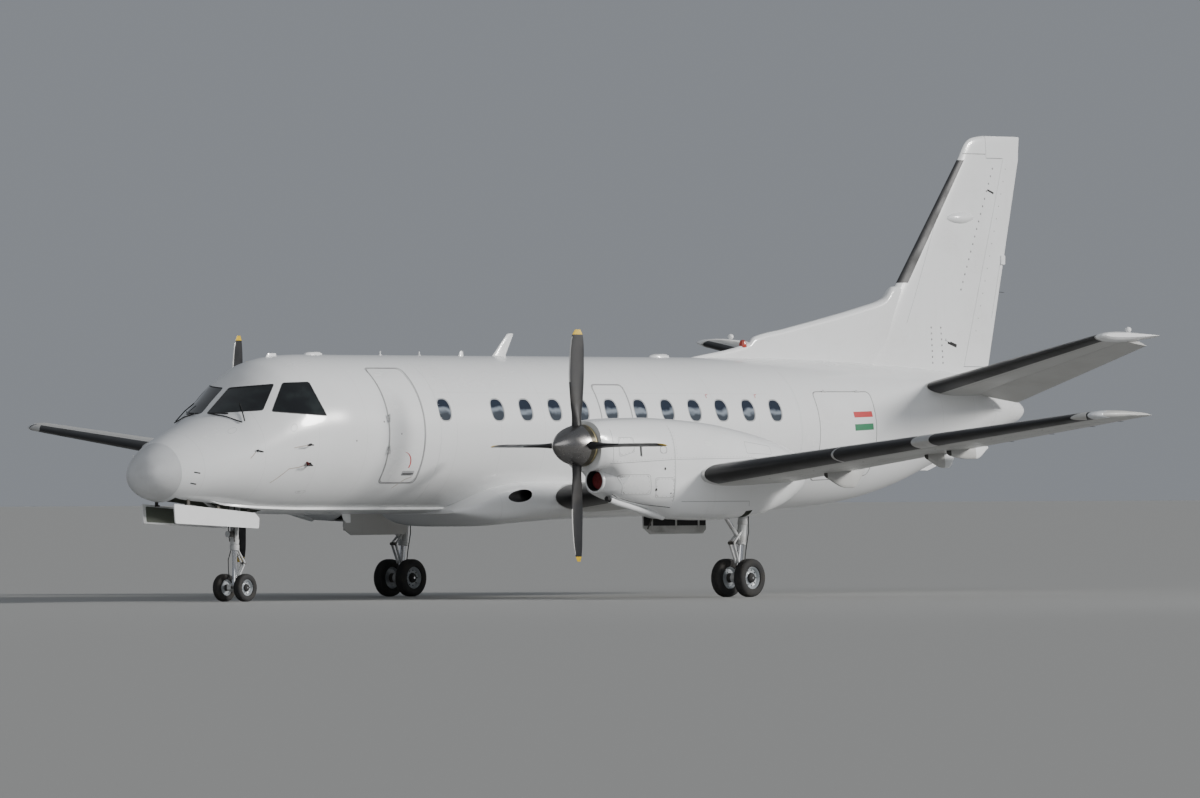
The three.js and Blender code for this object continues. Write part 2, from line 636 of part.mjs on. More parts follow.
// Fin and rudder stand in a frame whose Y runs up
const standUp = (solid) => solid.rotate([90, 0, 0]);
const finBlank = foilLoft(FIN_ROWS.map((row) => [...row, 0]));
const [finCut, rudderBlade] = cutControl(finBlank, {
  ...RUDDER,
  spans: [RUDDER.spans[0], RUDDER.spans[1] + RUN_GAP],
  hinge: [RUDDER.hingeLow, RUDDER.hingeTop].map(([height, station]) => [xOf(station), height, 0]),
});
const hornBox = (grow) => box([xOf(RUDDER.horn) - grow, RUDDER.spans[1] - grow, -400], [xOf(20000), 7100, 400]);
const finTop = box([xOf(RUDDER.horn) - RUN_GAP, RUDDER.spans[1] - RUDDER.hornGap, -400], [xOf(20000), 7100, 400]);
const rudderLow = finBlank.intersect(hornBox(0));
const dorsal = skin(DORSAL_ROWS.map(([station, top, half]) => {
  const outline = [
    [-half, DORSAL_LOW], [half, DORSAL_LOW], [half * 0.8, top - 60], [half * 0.3, top],
    [-half * 0.3, top], [-half * 0.8, top - 60],
  ];
  return outline.map(([y, z]) => [xOf(station), y, z]);
}));
const fin = join(standUp(finCut.subtract(finTop)), dorsal).subtract(bodySeat);
const rudder = standUp(rudderBlade.add(rudderLow)).subtract(bodyLoft(3000, TAIL_END, -40));

// Tailplane, starboard side first
const tailRow = (span) => {
  const t = span / TAILPLANE.tipSpan;
  const lead = TAILPLANE.rootLead + t * (TAILPLANE.tipLead - TAILPLANE.rootLead);
  const chord = TAILPLANE.rootChord + t * (TAILPLANE.tipChord - TAILPLANE.rootChord);
  return [span, lead, chord, TAILPLANE.thick, 0];
};
const tailBlank = foilLoft([
  tailRow(TAILPLANE.from), tailRow(ELEVATOR.spans[1] + 10), ...CAP_ROWS.map((row) => [...row, 0]),
]);
const elevatorHinge = [[xOf(ELEVATOR.hingeRoot), 0, 0], [xOf(ELEVATOR.hingeTip), TAILPLANE.tipSpan, 0]];
const elevatorRadius = (span) => {
  const [, lead, chord, thick] = tailRow(span);
  const share = (onLine(elevatorHinge)(span)[0] - xOf(lead)) / chord;
  return foilHalf(share, thick) * chord;
};
const [tailCut, elevatorLevel] = cutControl(tailBlank, {
  ...ELEVATOR,
  hinge: elevatorHinge,
  radii: ELEVATOR.spans.map(elevatorRadius),
});
const elevatorParked = turnAbout(elevatorLevel, ...elevatorHinge, ELEVATOR.droop);
const onTail = (solid) => placeSurface(solid, TAILPLANE.dihedral, TAILPLANE.rootZ);
const tailplane = onTail(tailCut).subtract(bodySeat);
const elevator = onTail(elevatorParked);

// Doors in the port side. A leaning aft edge lets a leaf swing out past its frame.
function doorPatch(door, grow, outer, inner, leanAt = () => 0) {
  const rows = 12;
  const columns = 2;
  const spread = THREE.MathUtils.radToDeg(grow / BODY_RADIUS);
  const height = radians(door.high - door.low) * BODY_RADIUS;
  const rings = [];
  for (let r = 0; r <= rows; r += 1) {
    const eased = (t) => 0.5 - 0.5 * Math.cos(Math.PI * t);
    const angle = THREE.MathUtils.lerp(door.low - spread, door.high + spread, eased(r / rows));
    const fromEnd = eased(Math.min(r, rows - r) / rows) * height;
    const inCorner = Math.max(0, door.corner - fromEnd);
    const round = door.corner - Math.sqrt(door.corner ** 2 - inCorner ** 2);
    const turn = radians(180 - angle);
    const [front, rear] = [door.from - grow + round, door.to + grow - round];
    const lean = leanAt(angle);
    const ring = [];
    for (let c = 0; c <= columns; c += 1) {
      ring.push(bodyPoint(front + ((rear + outer * lean - front) * c) / columns, turn, -outer));
    }
    for (let c = columns; c >= 0; c -= 1) {
      ring.push(bodyPoint(front + ((rear - inner * lean - front) * c) / columns, turn, inner));
    }
    rings.push(ring);
  }
  return skin(rings);
}
const PROUD = 60;
const LEAN_MARGIN = 1.1;
const passengerLean = (angle) => {
  const { hingeY, from, to } = PASSENGER_DOOR;
  const swing = (hingeY - BODY_RADIUS * Math.cos(radians(angle))) / (to - from);
  return (LEAN_MARGIN * swing) / Math.cos(radians(angle));
};
const leafOf = (door, lean) => bodyBlank.intersect(doorPatch(door, 0, PROUD, DOOR_THICK, lean));
const pocketOf = (door, gap, floorGap, lean) => doorPatch(door, gap, PROUD, DOOR_THICK + floorGap, lean);
const hatch = leafOf(HATCH);
const hatchPocket = pocketOf(HATCH, 2, SEAT_GAP);

// Hinge knuckles on a straight axis. Each spot has a body knuckle with one of the leaf's on either side,
// and each piece is cleared round the other's knuckles.
function knuckles(from, to, spots, bodyLug, leafLug) {
  const [start, end] = [new THREE.Vector3(...from), new THREE.Vector3(...to)];
  const along = end.clone().sub(start).normalize();
  const at = (distance) => start.clone().addScaledVector(along, distance).toArray();
  const barrel = (distance, radius, half) => bar(at(distance - half), at(distance + half), radius, radius, PIN.sides);
  const piece = (distance, lug) => {
    const foot = at(distance).map((v, i) => v + lug[i]);
    const rod = bar(at(distance), foot, KNUCKLE.lug, KNUCKLE.lug, 6);
    return barrel(distance, KNUCKLE.radius, KNUCKLE.length / 2).add(rod);
  };
  const room = (distance) => barrel(distance, KNUCKLE.radius + KNUCKLE.room, KNUCKLE.length / 2 + KNUCKLE.gap);
  const step = KNUCKLE.length + KNUCKLE.gap;
  const leafSpots = spots.flatMap((spot) => [spot - step, spot + step]);
  return {
    body: join(...spots.map((spot) => piece(spot, bodyLug))),
    leaf: join(...leafSpots.map((spot) => piece(spot, leafLug))),
    bodyRoom: join(...leafSpots.map(room)),
    leafRoom: join(...spots.map(room)),
  };
}
const doorAxisX = xOf(PASSENGER_DOOR.hingeX);
const passengerHinge = knuckles(
  [doorAxisX, -PASSENGER_DOOR.hingeY, 2000], [doorAxisX, -PASSENGER_DOOR.hingeY, 2800], [170, 630],
  [-25, 90, 0], [65, 62, 0],
);
const cargoAngle = radians(180 - CARGO_DOOR.high);
const [cargoFore, cargoAft] = [CARGO_DOOR.from, CARGO_DOOR.to].map((s) => bodyPoint(s, cargoAngle, -KNUCKLE.radius));
const cargoHinge = knuckles(cargoFore, cargoAft, [300, 1140], [0, 40, 32], [0, 14, -42]);
const passengerDoor = leafOf(PASSENGER_DOOR, passengerLean).subtract(passengerHinge.leafRoom).add(passengerHinge.leaf);
const cargoDoor = leafOf(CARGO_DOOR).subtract(cargoHinge.leafRoom).add(cargoHinge.leaf);

// Spaces in the fuselage: nose wheel bay, entry and baggage hold
const NOSE_BAY = { from: 500, to: 2290, half: 300, top: 1760 };
const noseBay = box([xOf(NOSE_BAY.from), -NOSE_BAY.half, 900], [xOf(NOSE_BAY.to), NOSE_BAY.half, NOSE_BAY.top]);
const entry = box(
  [xOf(ENTRY.from), -BODY_RADIUS, ENTRY.floor], [xOf(ENTRY.to), ENTRY.depth - BODY_RADIUS, ENTRY.top],
);
const hold = bodyLoft(HOLD.from, HOLD.to, HOLD.wall).intersect(
  box([xOf(HOLD.from), -BODY_RADIUS, HOLD.floor], [xOf(HOLD.to), BODY_RADIUS, 4000]),
);
const slice = (from, to) => box([xOf(from), -3000, 0], [xOf(to), 3000, 6000]);
const radome = bodyBlank.intersect(slice(-100, RADOME_SEAM));
const tailCone = bodyBlank.intersect(slice(TAIL_CONE_SEAM + SEAT_GAP, TAIL_END + 100));
const VENTRAL_HALF = 22;
// The keel fin under the tail, by station and height
const VENTRAL_OUTLINE = [[16500, 1900], [16850, 1862], [17480, 1850], [17900, 1990], [18000, 2200], [17000, 2100]];
const ventralFin = plate(VENTRAL_OUTLINE.map(([s, z]) => [xOf(s), z]), -VENTRAL_HALF, VENTRAL_HALF);
const NOSE_PAD = { station: 2950, low: 1225, high: 1300, radius: 45 };
const nosePad = bar(
  [xOf(NOSE_PAD.station), 0, NOSE_PAD.low], [xOf(NOSE_PAD.station), 0, NOSE_PAD.high], NOSE_PAD.radius,
);

let fuselage = bodyBlank
  .subtract(pocketOf(PASSENGER_DOOR, RUN_GAP, RUN_GAP, passengerLean))
  .subtract(pocketOf(CARGO_DOOR, RUN_GAP, RUN_GAP))
  .subtract(passengerHinge.bodyRoom)
  .subtract(cargoHinge.bodyRoom)
  .subtract(entry)
  .subtract(hold)
  .subtract(hatchPocket)
  .subtract(mirrorSolid(hatchPocket))
  .subtract(noseBay);
fuselage = join(fuselage, ventralFin, nosePad, passengerHinge.body, cargoHinge.body);
const bodySection = (from, to) => fuselage.intersect(slice(from + SEAT_GAP, to));

// Propeller with its spinner and shaft. The blade columns are radius, chord, thickness and angle from the disc.
const BLADE_SECTIONS = [
  [200, 150, 110, 88],
  [400, 180, 80, 87],
  [600, 235, 46, 85],
  [1000, 285, 30, 82],
  [1400, 265, 20, 79],
  [1590, 215, 14, 77],
  [1672, 110, 9, 77],
];
function propeller() {
  const length = PROP.spinnerBase - PROP.spinnerTip;
  const steps = 6;
  const profile = [new THREE.Vector2(0, 0)];
  for (let k = 0; k < steps; k += 1) {
    const t = k / steps;
    profile.push(new THREE.Vector2(PROP.spinnerRadius * (1 - t ** 1.9) ** 0.62, length * t));
  }
  profile.push(new THREE.Vector2(0, length));
  const lathe = new THREE.LatheGeometry(profile, 20);
  lathe.rotateZ(Math.PI / 2);
  lathe.translate(xOf(PROP.spinnerBase), 0, 0);
  const shaftEnd = xOf(ENGINE.from) - SEAT_GAP;
  const shaft = bar([xOf(PROP.spinnerBase) - 50, 0, 0], [shaftEnd, 0, 0], PROP.shaft, PROP.shaft, 20);
  const sides = 8;
  const blade = skin(BLADE_SECTIONS.map(([radius, chord, thick, angle]) => {
    const turn = radians(angle);
    const ring = [];
    for (let k = 0; k < sides; k += 1) {
      const around = (2 * Math.PI * k) / sides;
      const [u, v] = [(Math.cos(around) * chord) / 2, (Math.sin(around) * thick) / 2];
      ring.push([u * Math.sin(turn) - v * Math.cos(turn), u * Math.cos(turn) + v * Math.sin(turn), radius]);
    }
    return ring;
  })).translate([xOf(PROP.station), 0, 0]);
  let solid = join(toSolid(lathe), shaft);
  for (let k = 0; k < PROP.blades; k += 1) solid = solid.add(blade.rotate([(360 * k) / PROP.blades, 0, 0]));
  return solid.translate([0, NACELLE_Y, PROP.hubZ]);
}

// A wheel turned about Y. The profile's columns are shares of the radius and of half the width.
const WHEEL_PROFILE = [
  [0, -0.6], [0.5, -0.6], [0.56, -0.9], [0.84, -0.96], [1, -0.5],
  [1, 0.5], [0.84, 0.96], [0.56, 0.9], [0.5, 0.6], [0, 0.6],
];
const WHEEL_SIDES = 20;
function wheelPair({ station, radius, width, offset, axle }) {
  const profile = WHEEL_PROFILE.map(([r, y]) => new THREE.Vector2(r * radius, (y * width) / 2));
  const wheel = toSolid(new THREE.LatheGeometry(profile, WHEEL_SIDES));
  const shaft = bar([0, -offset, 0], [0, offset, 0], axle, axle, 20);
  return join(wheel.translate([0, -offset, 0]), wheel.translate([0, offset, 0]), shaft)
    .translate([xOf(station), 0, radius]);
}
const noseWheels = wheelPair(NOSE_GEAR);
const mainWheels = wheelPair(MAIN_GEAR).translate([0, NACELLE_Y, 0]);

// A hub with a bored hole for an axle along Y
function axleHub({ station, radius, axle }, outer, width) {
  const x = xOf(station);
  const hub = bar([x, -width / 2, radius], [x, width / 2, radius], outer, outer, 20);
  const bore = bar([x, -width, radius], [x, width, radius], axle + AXLE_CLEAR, axle + AXLE_CLEAR, 20);
  return { hub, bore };
}

// Nose leg: the fixed cylinder above, and below it the steered piston with its hub
const NOSE_X = xOf(NOSE_GEAR.station);
const STEER_Z = 820;
const TRUNNION_Z = 1500;
const BRACE = { run: 900, top: 1600, low: 1120, half: 150 };
const noseLeg = join(
  bar([NOSE_X, 0, STEER_Z], [NOSE_X, 0, NOSE_BAY.top - SEAT_GAP], 62),
  bar([NOSE_X - BRACE.run, 0, BRACE.top], [NOSE_X, 0, BRACE.low], 30),
  bar([NOSE_X - BRACE.run, -BRACE.half, BRACE.top], [NOSE_X - BRACE.run, BRACE.half, BRACE.top], 34),
  bar([NOSE_X, -NOSE_BAY.half + SEAT_GAP, TRUNNION_Z], [NOSE_X, NOSE_BAY.half - SEAT_GAP, TRUNNION_Z], 45),
);
const noseHub = axleHub(NOSE_GEAR, 58, 170);
const NOSE_KNEE = { run: 180, z: 550, top: 760, low: 300 };
const noseFork = join(
  bar([NOSE_X, 0, NOSE_GEAR.radius], [NOSE_X, 0, STEER_Z - SEAT_GAP], 44),
  bar([NOSE_X, 0, STEER_Z - 90], [NOSE_X, 0, STEER_Z - SEAT_GAP], 70),
  bar([NOSE_X + 30, 0, NOSE_KNEE.top], [NOSE_X + NOSE_KNEE.run, 0, NOSE_KNEE.z], 22),
  bar([NOSE_X + NOSE_KNEE.run, 0, NOSE_KNEE.z], [NOSE_X + 30, 0, NOSE_KNEE.low], 22),
  bar([NOSE_X + NOSE_KNEE.run, -40, NOSE_KNEE.z], [NOSE_X + NOSE_KNEE.run, 40, NOSE_KNEE.z], 26),
  box([NOSE_X - 130, -38, NOSE_GEAR.radius - 30], [NOSE_X, 38, NOSE_GEAR.radius + 40]),
  noseHub.hub,
).subtract(noseHub.bore);

// Main leg, starboard first
const mainHub = axleHub(MAIN_GEAR, 75, 200);
const atLeg = (z, forward = 0) => [legAt(z)[0] - forward, 0, z];
const MAIN_KNEE = { run: 210, z: 790, top: 960, low: 520 };
const mainKneeX = atLeg(MAIN_KNEE.z, MAIN_KNEE.run)[0];
const DRAG_BRACE = { station: 8700, top: 1420, low: 800, radius: 34 };
const mainLeg = join(
  bar(atLeg(MAIN_GEAR.radius), atLeg(820), 54),
  bar(atLeg(760), atLeg(LEG_TOP), LEG_RADIUS),
  bar(atLeg(MAIN_KNEE.top, 30), atLeg(MAIN_KNEE.z, MAIN_KNEE.run), 24),
  bar(atLeg(MAIN_KNEE.z, MAIN_KNEE.run), atLeg(MAIN_KNEE.low, 20), 24),
  bar([mainKneeX, -50, MAIN_KNEE.z], [mainKneeX, 50, MAIN_KNEE.z], 28),
  bar(atLeg(DRAG_BRACE.low), [xOf(DRAG_BRACE.station), 0, DRAG_BRACE.top], DRAG_BRACE.radius),
  mainHub.hub,
).subtract(mainHub.bore).translate([0, NACELLE_Y, 0]);

// Nose bay doors hang open on three necks from the bay's edges
const NECK_STATIONS = [760, 1380, 2000];
const NOSE_DOOR_THICK = 22;
function noseDoor() {
  const y0 = NOSE_BAY.half + 3;
  const y1 = y0 + NOSE_DOOR_THICK;
  const panel = plate([
    [xOf(452), 1415], [xOf(2122), 1278], [xOf(2200), 1240], [xOf(2226), 1188], [xOf(2216), 1049], [xOf(480), 1130],
  ], y0, y1);
  const necks = NECK_STATIONS.map((s) => box([xOf(s) - 30, y0, 1180], [xOf(s) + 30, y1, 1700]));
  return join(panel, ...necks).subtract(bodyLoft(0, 4000, -SEAT_GAP));
}

// What is on one side only is made to starboard, and its twin by mirroring
const twin = (name, solid, material) => {
  addMesh(`right_${name}`, solid, material);
  addMesh(`left_${name}`, mirrorSolid(solid), material);
};
addMesh("radome", radome, radomePaint);
addMesh("nose_section", bodySection(RADOME_SEAM, NOSE_SEAM), whitePaint);
addMesh("fuselage", bodySection(NOSE_SEAM, REAR_SEAM), whitePaint);
addMesh("rear_fuselage", bodySection(REAR_SEAM, TAIL_CONE_SEAM), whitePaint);
addMesh("tail_cone", tailCone, whitePaint);
addMesh("passenger_door", passengerDoor, whitePaint);
addMesh("cargo_door", cargoDoor, whitePaint);
addMesh("wing_fairing", fairing, whitePaint);
addMesh("fin", fin, whitePaint);
addMesh("rudder", rudder, whitePaint);
addMesh("nose_leg", noseLeg, greyPaint);
addMesh("nose_steering", noseFork, bareMetal);
addMesh("nose_wheels", noseWheels, tyreRubber);
twin("exit_hatch", mirrorSolid(hatch), whitePaint);
twin("nose_door", noseDoor(), whitePaint);
twin("wing", wing, greyPaint);
twin("aileron", onWing(aileron), greyPaint);
twin("inner_flap", onWing(innerFlapSolid), greyPaint);
twin("outer_flap", onWing(outerFlapSolid), greyPaint);
twin("engine_cowl", cowl, whitePaint);
twin("nacelle", nacelle, whitePaint);
twin("engine", engine, ironGrey);
twin("propeller", propeller(), bladeGrey);
twin("tailplane", tailplane, greyPaint);
twin("elevator", elevator, greyPaint);
twin("main_leg", mainLeg, bareMetal);
twin("main_wheels", mainWheels, tyreRubber);
twin("outer_bay_door", outerBayDoor, whitePaint);
twin("inner_bay_door", innerBayDoor, greyPaint);

export default craft;
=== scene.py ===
"""Looks of a twin turboprop airliner parked on its landing gear.

Metres, in the frame of the CAD: X runs aft, Y to starboard and Z up, with the floor at Z = 0.
Stations are distances aft of the nose tip. Pieces are made for the starboard side and mirrored to port.
"""
from math import acos, asin, atan2, ceil, copysign, cos, degrees, hypot, pi, radians, sin, sqrt, tan

import bmesh
import bpy
import numpy as np
from mathutils import Matrix, Vector
from mathutils.bvhtree import BVHTree


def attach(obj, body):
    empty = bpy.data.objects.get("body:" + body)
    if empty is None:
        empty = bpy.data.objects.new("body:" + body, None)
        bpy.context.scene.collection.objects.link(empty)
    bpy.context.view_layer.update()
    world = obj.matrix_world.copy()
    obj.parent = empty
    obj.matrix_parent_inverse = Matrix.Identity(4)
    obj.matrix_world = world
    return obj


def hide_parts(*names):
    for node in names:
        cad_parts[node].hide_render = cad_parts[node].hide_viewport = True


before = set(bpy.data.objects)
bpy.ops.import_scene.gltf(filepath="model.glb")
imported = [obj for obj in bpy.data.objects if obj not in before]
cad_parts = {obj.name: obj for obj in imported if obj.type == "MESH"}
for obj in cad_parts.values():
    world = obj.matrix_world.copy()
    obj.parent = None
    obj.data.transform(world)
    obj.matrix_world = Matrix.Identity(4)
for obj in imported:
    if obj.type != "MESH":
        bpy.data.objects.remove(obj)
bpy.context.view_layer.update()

SCENE = bpy.context.scene

# Driving dimensions
LENGTH = 19.73
SPAN = 21.44
BODY_RADIUS = 1.155
NACELLE_Y = 3.355
RUN_GAP = 0.009


def x_of(station):
    return station - LENGTH / 2


# Small maths
def column(rows, k, at):
    """Steady curve through column k of a table, by a monotone cubic on its first column."""
    if at <= rows[0][0]:
        return rows[0][k]
    if at >= rows[-1][0]:
        return rows[-1][k]
    i = 0
    while rows[i + 1][0] < at:
        i += 1

    def slope(j):
        return (rows[j + 1][k] - rows[j][k]) / (rows[j + 1][0] - rows[j][0])

    def tangent(j):
        if j == 0:
            return slope(0)
        if j == len(rows) - 1:
            return slope(j - 1)
        before, after = slope(j - 1), slope(j)
        return 0 if before * after <= 0 else 2 * before * after / (before + after)

    step = rows[i + 1][0] - rows[i][0]
    t = (at - rows[i][0]) / step
    p, q = rows[i][k], rows[i + 1][k]
    rise = step * (t * (1 - t) ** 2 * tangent(i) - t * t * (1 - t) * tangent(i + 1))
    return p * (1 + 2 * t) * (1 - t) ** 2 + q * t * t * (3 - 2 * t) + rise


def row_at(rows, at):
    """The curves through all the columns of a table after its first."""
    return [column(rows, k, at) for k in range(1, len(rows[0]))]


def blend(a, b, t):
    return a + (b - a) * t


def power(value, exponent):
    return copysign(abs(value) ** exponent, value)


def steps(start, stop, length):
    """Evenly spaced values from start to stop, about length apart."""
    return np.linspace(start, stop, max(2, round(abs(stop - start) / length) + 1))


def turns(count):
    """The angles of evenly spaced places round a circle."""
    return [2 * pi * k / count for k in range(count)]


def circle(centre, across, up, radius, sides):
    return [centre + (across * cos(a) + up * sin(a)) * radius for a in turns(sides)]


def soft_square(x, y, z, half_y, half_z, roundness, count):
    """A ring across X between an ellipse and a rectangle."""
    return [(x, y + half_y * power(cos(a), roundness), z + half_z * power(sin(a), roundness))
            for a in turns(count)]


class Shape:
    """Points and faces of a piece, with a number of one of its finishes for each face."""

    def __init__(self):
        self.points, self.faces, self.slots = [], [], []

    def add(self, points, faces, slot=0):
        base = len(self.points)
        self.points += [tuple(float(v) for v in p) for p in points]
        self.faces += [tuple(base + i for i in face) for face in faces]
        self.slots += slot if isinstance(slot, list) else [slot] * len(faces)
        return self

    def take(self, other):
        return self.add(other.points, other.faces, list(other.slots))

    def rings(self, rings, slot=0, caps=(True, True)):
        """A skin over rings of points; slot may be a list with one entry for each band between rings."""
        n = len(rings[0])
        faces, slots = [], []
        for r in range(len(rings) - 1):
            for k in range(n):
                a, b = r * n + k, r * n + (k + 1) % n
                faces.append((a, b, b + n, a + n))
                slots.append(slot[r] if isinstance(slot, list) else slot)
        last = (len(rings) - 1) * n
        if caps[0]:
            faces.append(tuple(range(n))[::-1])
            slots.append(slots[0])
        if caps[1]:
            faces.append(tuple(range(last, last + n)))
            slots.append(slots[-2] if caps[0] else slots[-1])
        return self.add([p for ring in rings for p in ring], faces, slots)

    def turned(self, profile, origin, axis=(0, 1, 0), slot=0, sides=40, caps=(True, True)):
        """A turned form. The profile holds places along the axis and radii."""
        axis = Vector(axis).normalized()
        across = axis.orthogonal().normalized()
        up = axis.cross(across)
        rings = [circle(Vector(origin) + axis * along, across, up, max(radius, 2e-4), sides)
                 for along, radius in profile]
        return self.rings(rings, slot, caps)

    def rod(self, start, end, radius, end_radius=None, slot=0, sides=20):
        """A round bar with eased ends."""
        end_radius = radius if end_radius is None else end_radius
        start, end = Vector(start), Vector(end)
        length = (end - start).length
        ease = min(radius, end_radius) * 0.12
        return self.turned([(0, radius - ease), (ease, radius), (length - ease, end_radius),
                            (length, end_radius - ease)], start, end - start, slot, sides)

    def pin(self, centre, half, radius, slot=0, sides=20):
        """A round bar along Y about its centre."""
        x, y, z = centre
        return self.rod((x, y - half, z), (x, y + half, z), radius, None, slot, sides)

    def pipe(self, path, radius, slot=0, sides=10):
        """A tube along a path of points."""
        path = [Vector(p) for p in path]
        across = (path[1] - path[0]).orthogonal().normalized()
        rings = []
        for i, point in enumerate(path):
            ahead = path[min(i + 1, len(path) - 1)] - path[max(i - 1, 0)]
            ahead.normalize()
            across = (across - ahead * across.dot(ahead)).normalized()
            rings.append(circle(point, across, ahead.cross(across), radius, sides))
        return self.rings(rings, slot)

    def box(self, low, high, slot=0, ease=0.004):
        """A block with eased edges."""
        ease = min(ease, *(0.3 * (b - a) for a, b in zip(low, high)))

        def ring(z, inset):
            points = []
            corners = ((high[0], high[1]), (low[0], high[1]), (low[0], low[1]), (high[0], low[1]))
            for i, (x, y) in enumerate(corners):
                cx = x + (-1 if x == high[0] else 1) * (ease + inset)
                cy = y + (-1 if y == high[1] else 1) * (ease + inset)
                for turn in (0, 45, 90):
                    a = radians(90 * i + turn)
                    points.append((cx + ease * cos(a), cy + ease * sin(a), z))
            return points

        rings = [ring(low[2], ease), ring(low[2] + ease, 0), ring(high[2] - ease, 0), ring(high[2], ease)]
        return self.rings(rings, slot)

    def plate(self, outline, y0, y1, slot=0, ease=0.003):
        """An outline in X and Z, thick along Y, with eased edges."""
        middle = np.mean(np.array(outline), axis=0)
        reach = np.max(np.abs(np.array(outline) - middle))
        inset = 1 - ease / reach

        def ring(y, scale):
            return [(blend(middle[0], x, scale), y, blend(middle[1], z, scale)) for x, z in outline]

        return self.rings([ring(y0, inset), ring(y0 + ease, 1), ring(y1 - ease, 1), ring(y1, inset)], slot)

    def moved(self, place):
        """The same shape with each point passed through a function."""
        other = Shape()
        other.points = [tuple(place(p)) for p in self.points]
        other.faces, other.slots = list(self.faces), list(self.slots)
        return other

    def shifted(self, dx=0, dy=0, dz=0):
        return self.moved(lambda p: (p[0] + dx, p[1] + dy, p[2] + dz))


# Making objects
def linked(name, data):
    made = bpy.data.objects.new(name, data)
    SCENE.collection.objects.link(made)
    return made


def solid(name, shape, finishes):
    """A linked object from a shape, with clean outward faces."""
    mesh = bpy.data.meshes.new(name)
    mesh.from_pydata(shape.points, [], shape.faces)
    for one in finishes:
        mesh.materials.append(one)
    mesh.polygons.foreach_set("material_index", shape.slots)
    work = bmesh.new()
    work.from_mesh(mesh)
    bmesh.ops.remove_doubles(work, verts=work.verts, dist=1e-5)
    bmesh.ops.recalc_face_normals(work, faces=work.faces)
    work.to_mesh(mesh)
    work.free()
    return linked(name, mesh)


def baked(obj):
    """Applies an object's modifiers, so that it is a plain mesh."""
    bpy.context.view_layer.update()
    graph = bpy.context.evaluated_depsgraph_get()
    mesh = bpy.data.meshes.new_from_object(obj.evaluated_get(graph))
    obj.modifiers.clear()
    obj.data = mesh
    return obj


def cut(target, tool, operation="DIFFERENCE"):
    """Boolean of an object with a tool, whose own finishes go to the faces it leaves."""
    if isinstance(tool, Shape):
        tool = solid("tool", tool, target.data.materials)
    change = target.modifiers.new("cut", "BOOLEAN")
    change.operation = operation
    change.solver = "EXACT"
    change.material_mode = "TRANSFER"
    change.object = tool
    baked(target)
    bpy.data.objects.remove(tool)
    return target


def copy_of(obj):
    other = obj.copy()
    other.data = obj.data.copy()
    SCENE.collection.objects.link(other)
    return other


def mirrored_copy(obj, name):
    """The port twin of a starboard object."""
    other = copy_of(obj)
    other.name = name
    other.data.transform(Matrix.Scale(-1, 4, (0, 1, 0)))
    other.data.flip_normals()
    return other


def dress(obj, body, stands_for=(), slot=None, sharp=30):
    """Smooths a finished object, sets the body that it rides on, and hides the nodes that it stands for."""
    obj.data.shade_smooth()
    obj.data.set_sharp_from_angle(angle=radians(sharp))
    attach(obj, body)
    if stands_for:
        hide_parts(*stands_for)
    return obj


def piece(name, shape, finishes, body, *rest, **named):
    return dress(solid(name, shape, finishes), body, *rest, **named)


def twins(name, obj, body, stands_for=(), slot=None, sharp=30):
    """Names a starboard object, makes its port twin and dresses both. SIDE becomes right or left."""
    pair = (("right", obj), ("left", mirrored_copy(obj, f"left_{name}")))
    for side, one in pair:
        one.name = f"{side}_{name}"
        nodes = [node.replace("SIDE", side) for node in stands_for]
        dress(one, body.replace("SIDE", side), nodes, slot, sharp)


def twin_pieces(name, shape, finishes, body, *rest, **named):
    twins(name, solid(f"right_{name}", shape, finishes), body, *rest, **named)


# Materials
class Nodes:
    """Short calls for making and joining nodes."""

    def __init__(self, tree):
        self.tree = tree

    def put(self, target, value):
        """Joins an output to an input, or sets the input to a value."""
        if isinstance(value, bpy.types.NodeSocket):
            self.tree.links.new(value, target)
        else:
            target.default_value = value

    def new(self, kind, given=None, **settings):
        """Makes a node, fills its inputs and gives back its outputs."""
        node = self.tree.nodes.new(kind)
        for key, value in settings.items():
            setattr(node, key, value)
        for name, value in (given or {}).items():
            self.put(node.inputs[name], value)
        return node.outputs

    def ends(self):
        """What a group is given and what it puts out."""
        return self.new("NodeGroupInput"), self.tree.nodes.new("NodeGroupOutput").inputs

    def maths(self, operation, a, b=0.0):
        return self.new("ShaderNodeMath", {0: a, 1: b}, operation=operation)[0]

    def ramp(self, value, low, high, to_low=0.0, to_high=1.0):
        given = {"Value": value, "From Min": low, "From Max": high, "To Min": to_low, "To Max": to_high}
        return self.new("ShaderNodeMapRange", given, interpolation_type="SMOOTHSTEP")["Result"]

    def mix(self, factor, first, second):
        given = {"Factor": factor, "A": first, "B": second}
        return self.new("ShaderNodeMix", given, data_type="RGBA")["Result"]

    def group(self, tree, **values):
        return self.new("ShaderNodeGroup", values, node_tree=tree)

    def noise(self, stretch, scale, detail, roughness):
        given = {"Vector": self.stretched(stretch), "Scale": scale, "Detail": detail, "Roughness": roughness}
        return self.new("ShaderNodeTexNoise", given)["Fac"]

    def stretched(self, scale):
        """Object coordinates multiplied along each axis."""
        where = self.new("ShaderNodeTexCoord")["Object"]
        return self.new("ShaderNodeMapping", {"Vector": where, "Scale": scale})["Vector"]

    def along(self, axis):
        return self.new("ShaderNodeSeparateXYZ", {0: self.stretched((1, 1, 1))})[axis]


def shader_group(name, outputs, **inputs):
    """A group with numbers in and out: the calls that fill it, what it is given and what it puts out."""
    tree = bpy.data.node_groups.new(name, "ShaderNodeTree")
    kind = "NodeSocketFloat"
    for title, usual in inputs.items():
        tree.interface.new_socket(name=title, in_out="INPUT", socket_type=kind).default_value = usual
    for title in outputs:
        tree.interface.new_socket(name=title, in_out="OUTPUT", socket_type=kind)
    n = Nodes(tree)
    return n, *n.ends()


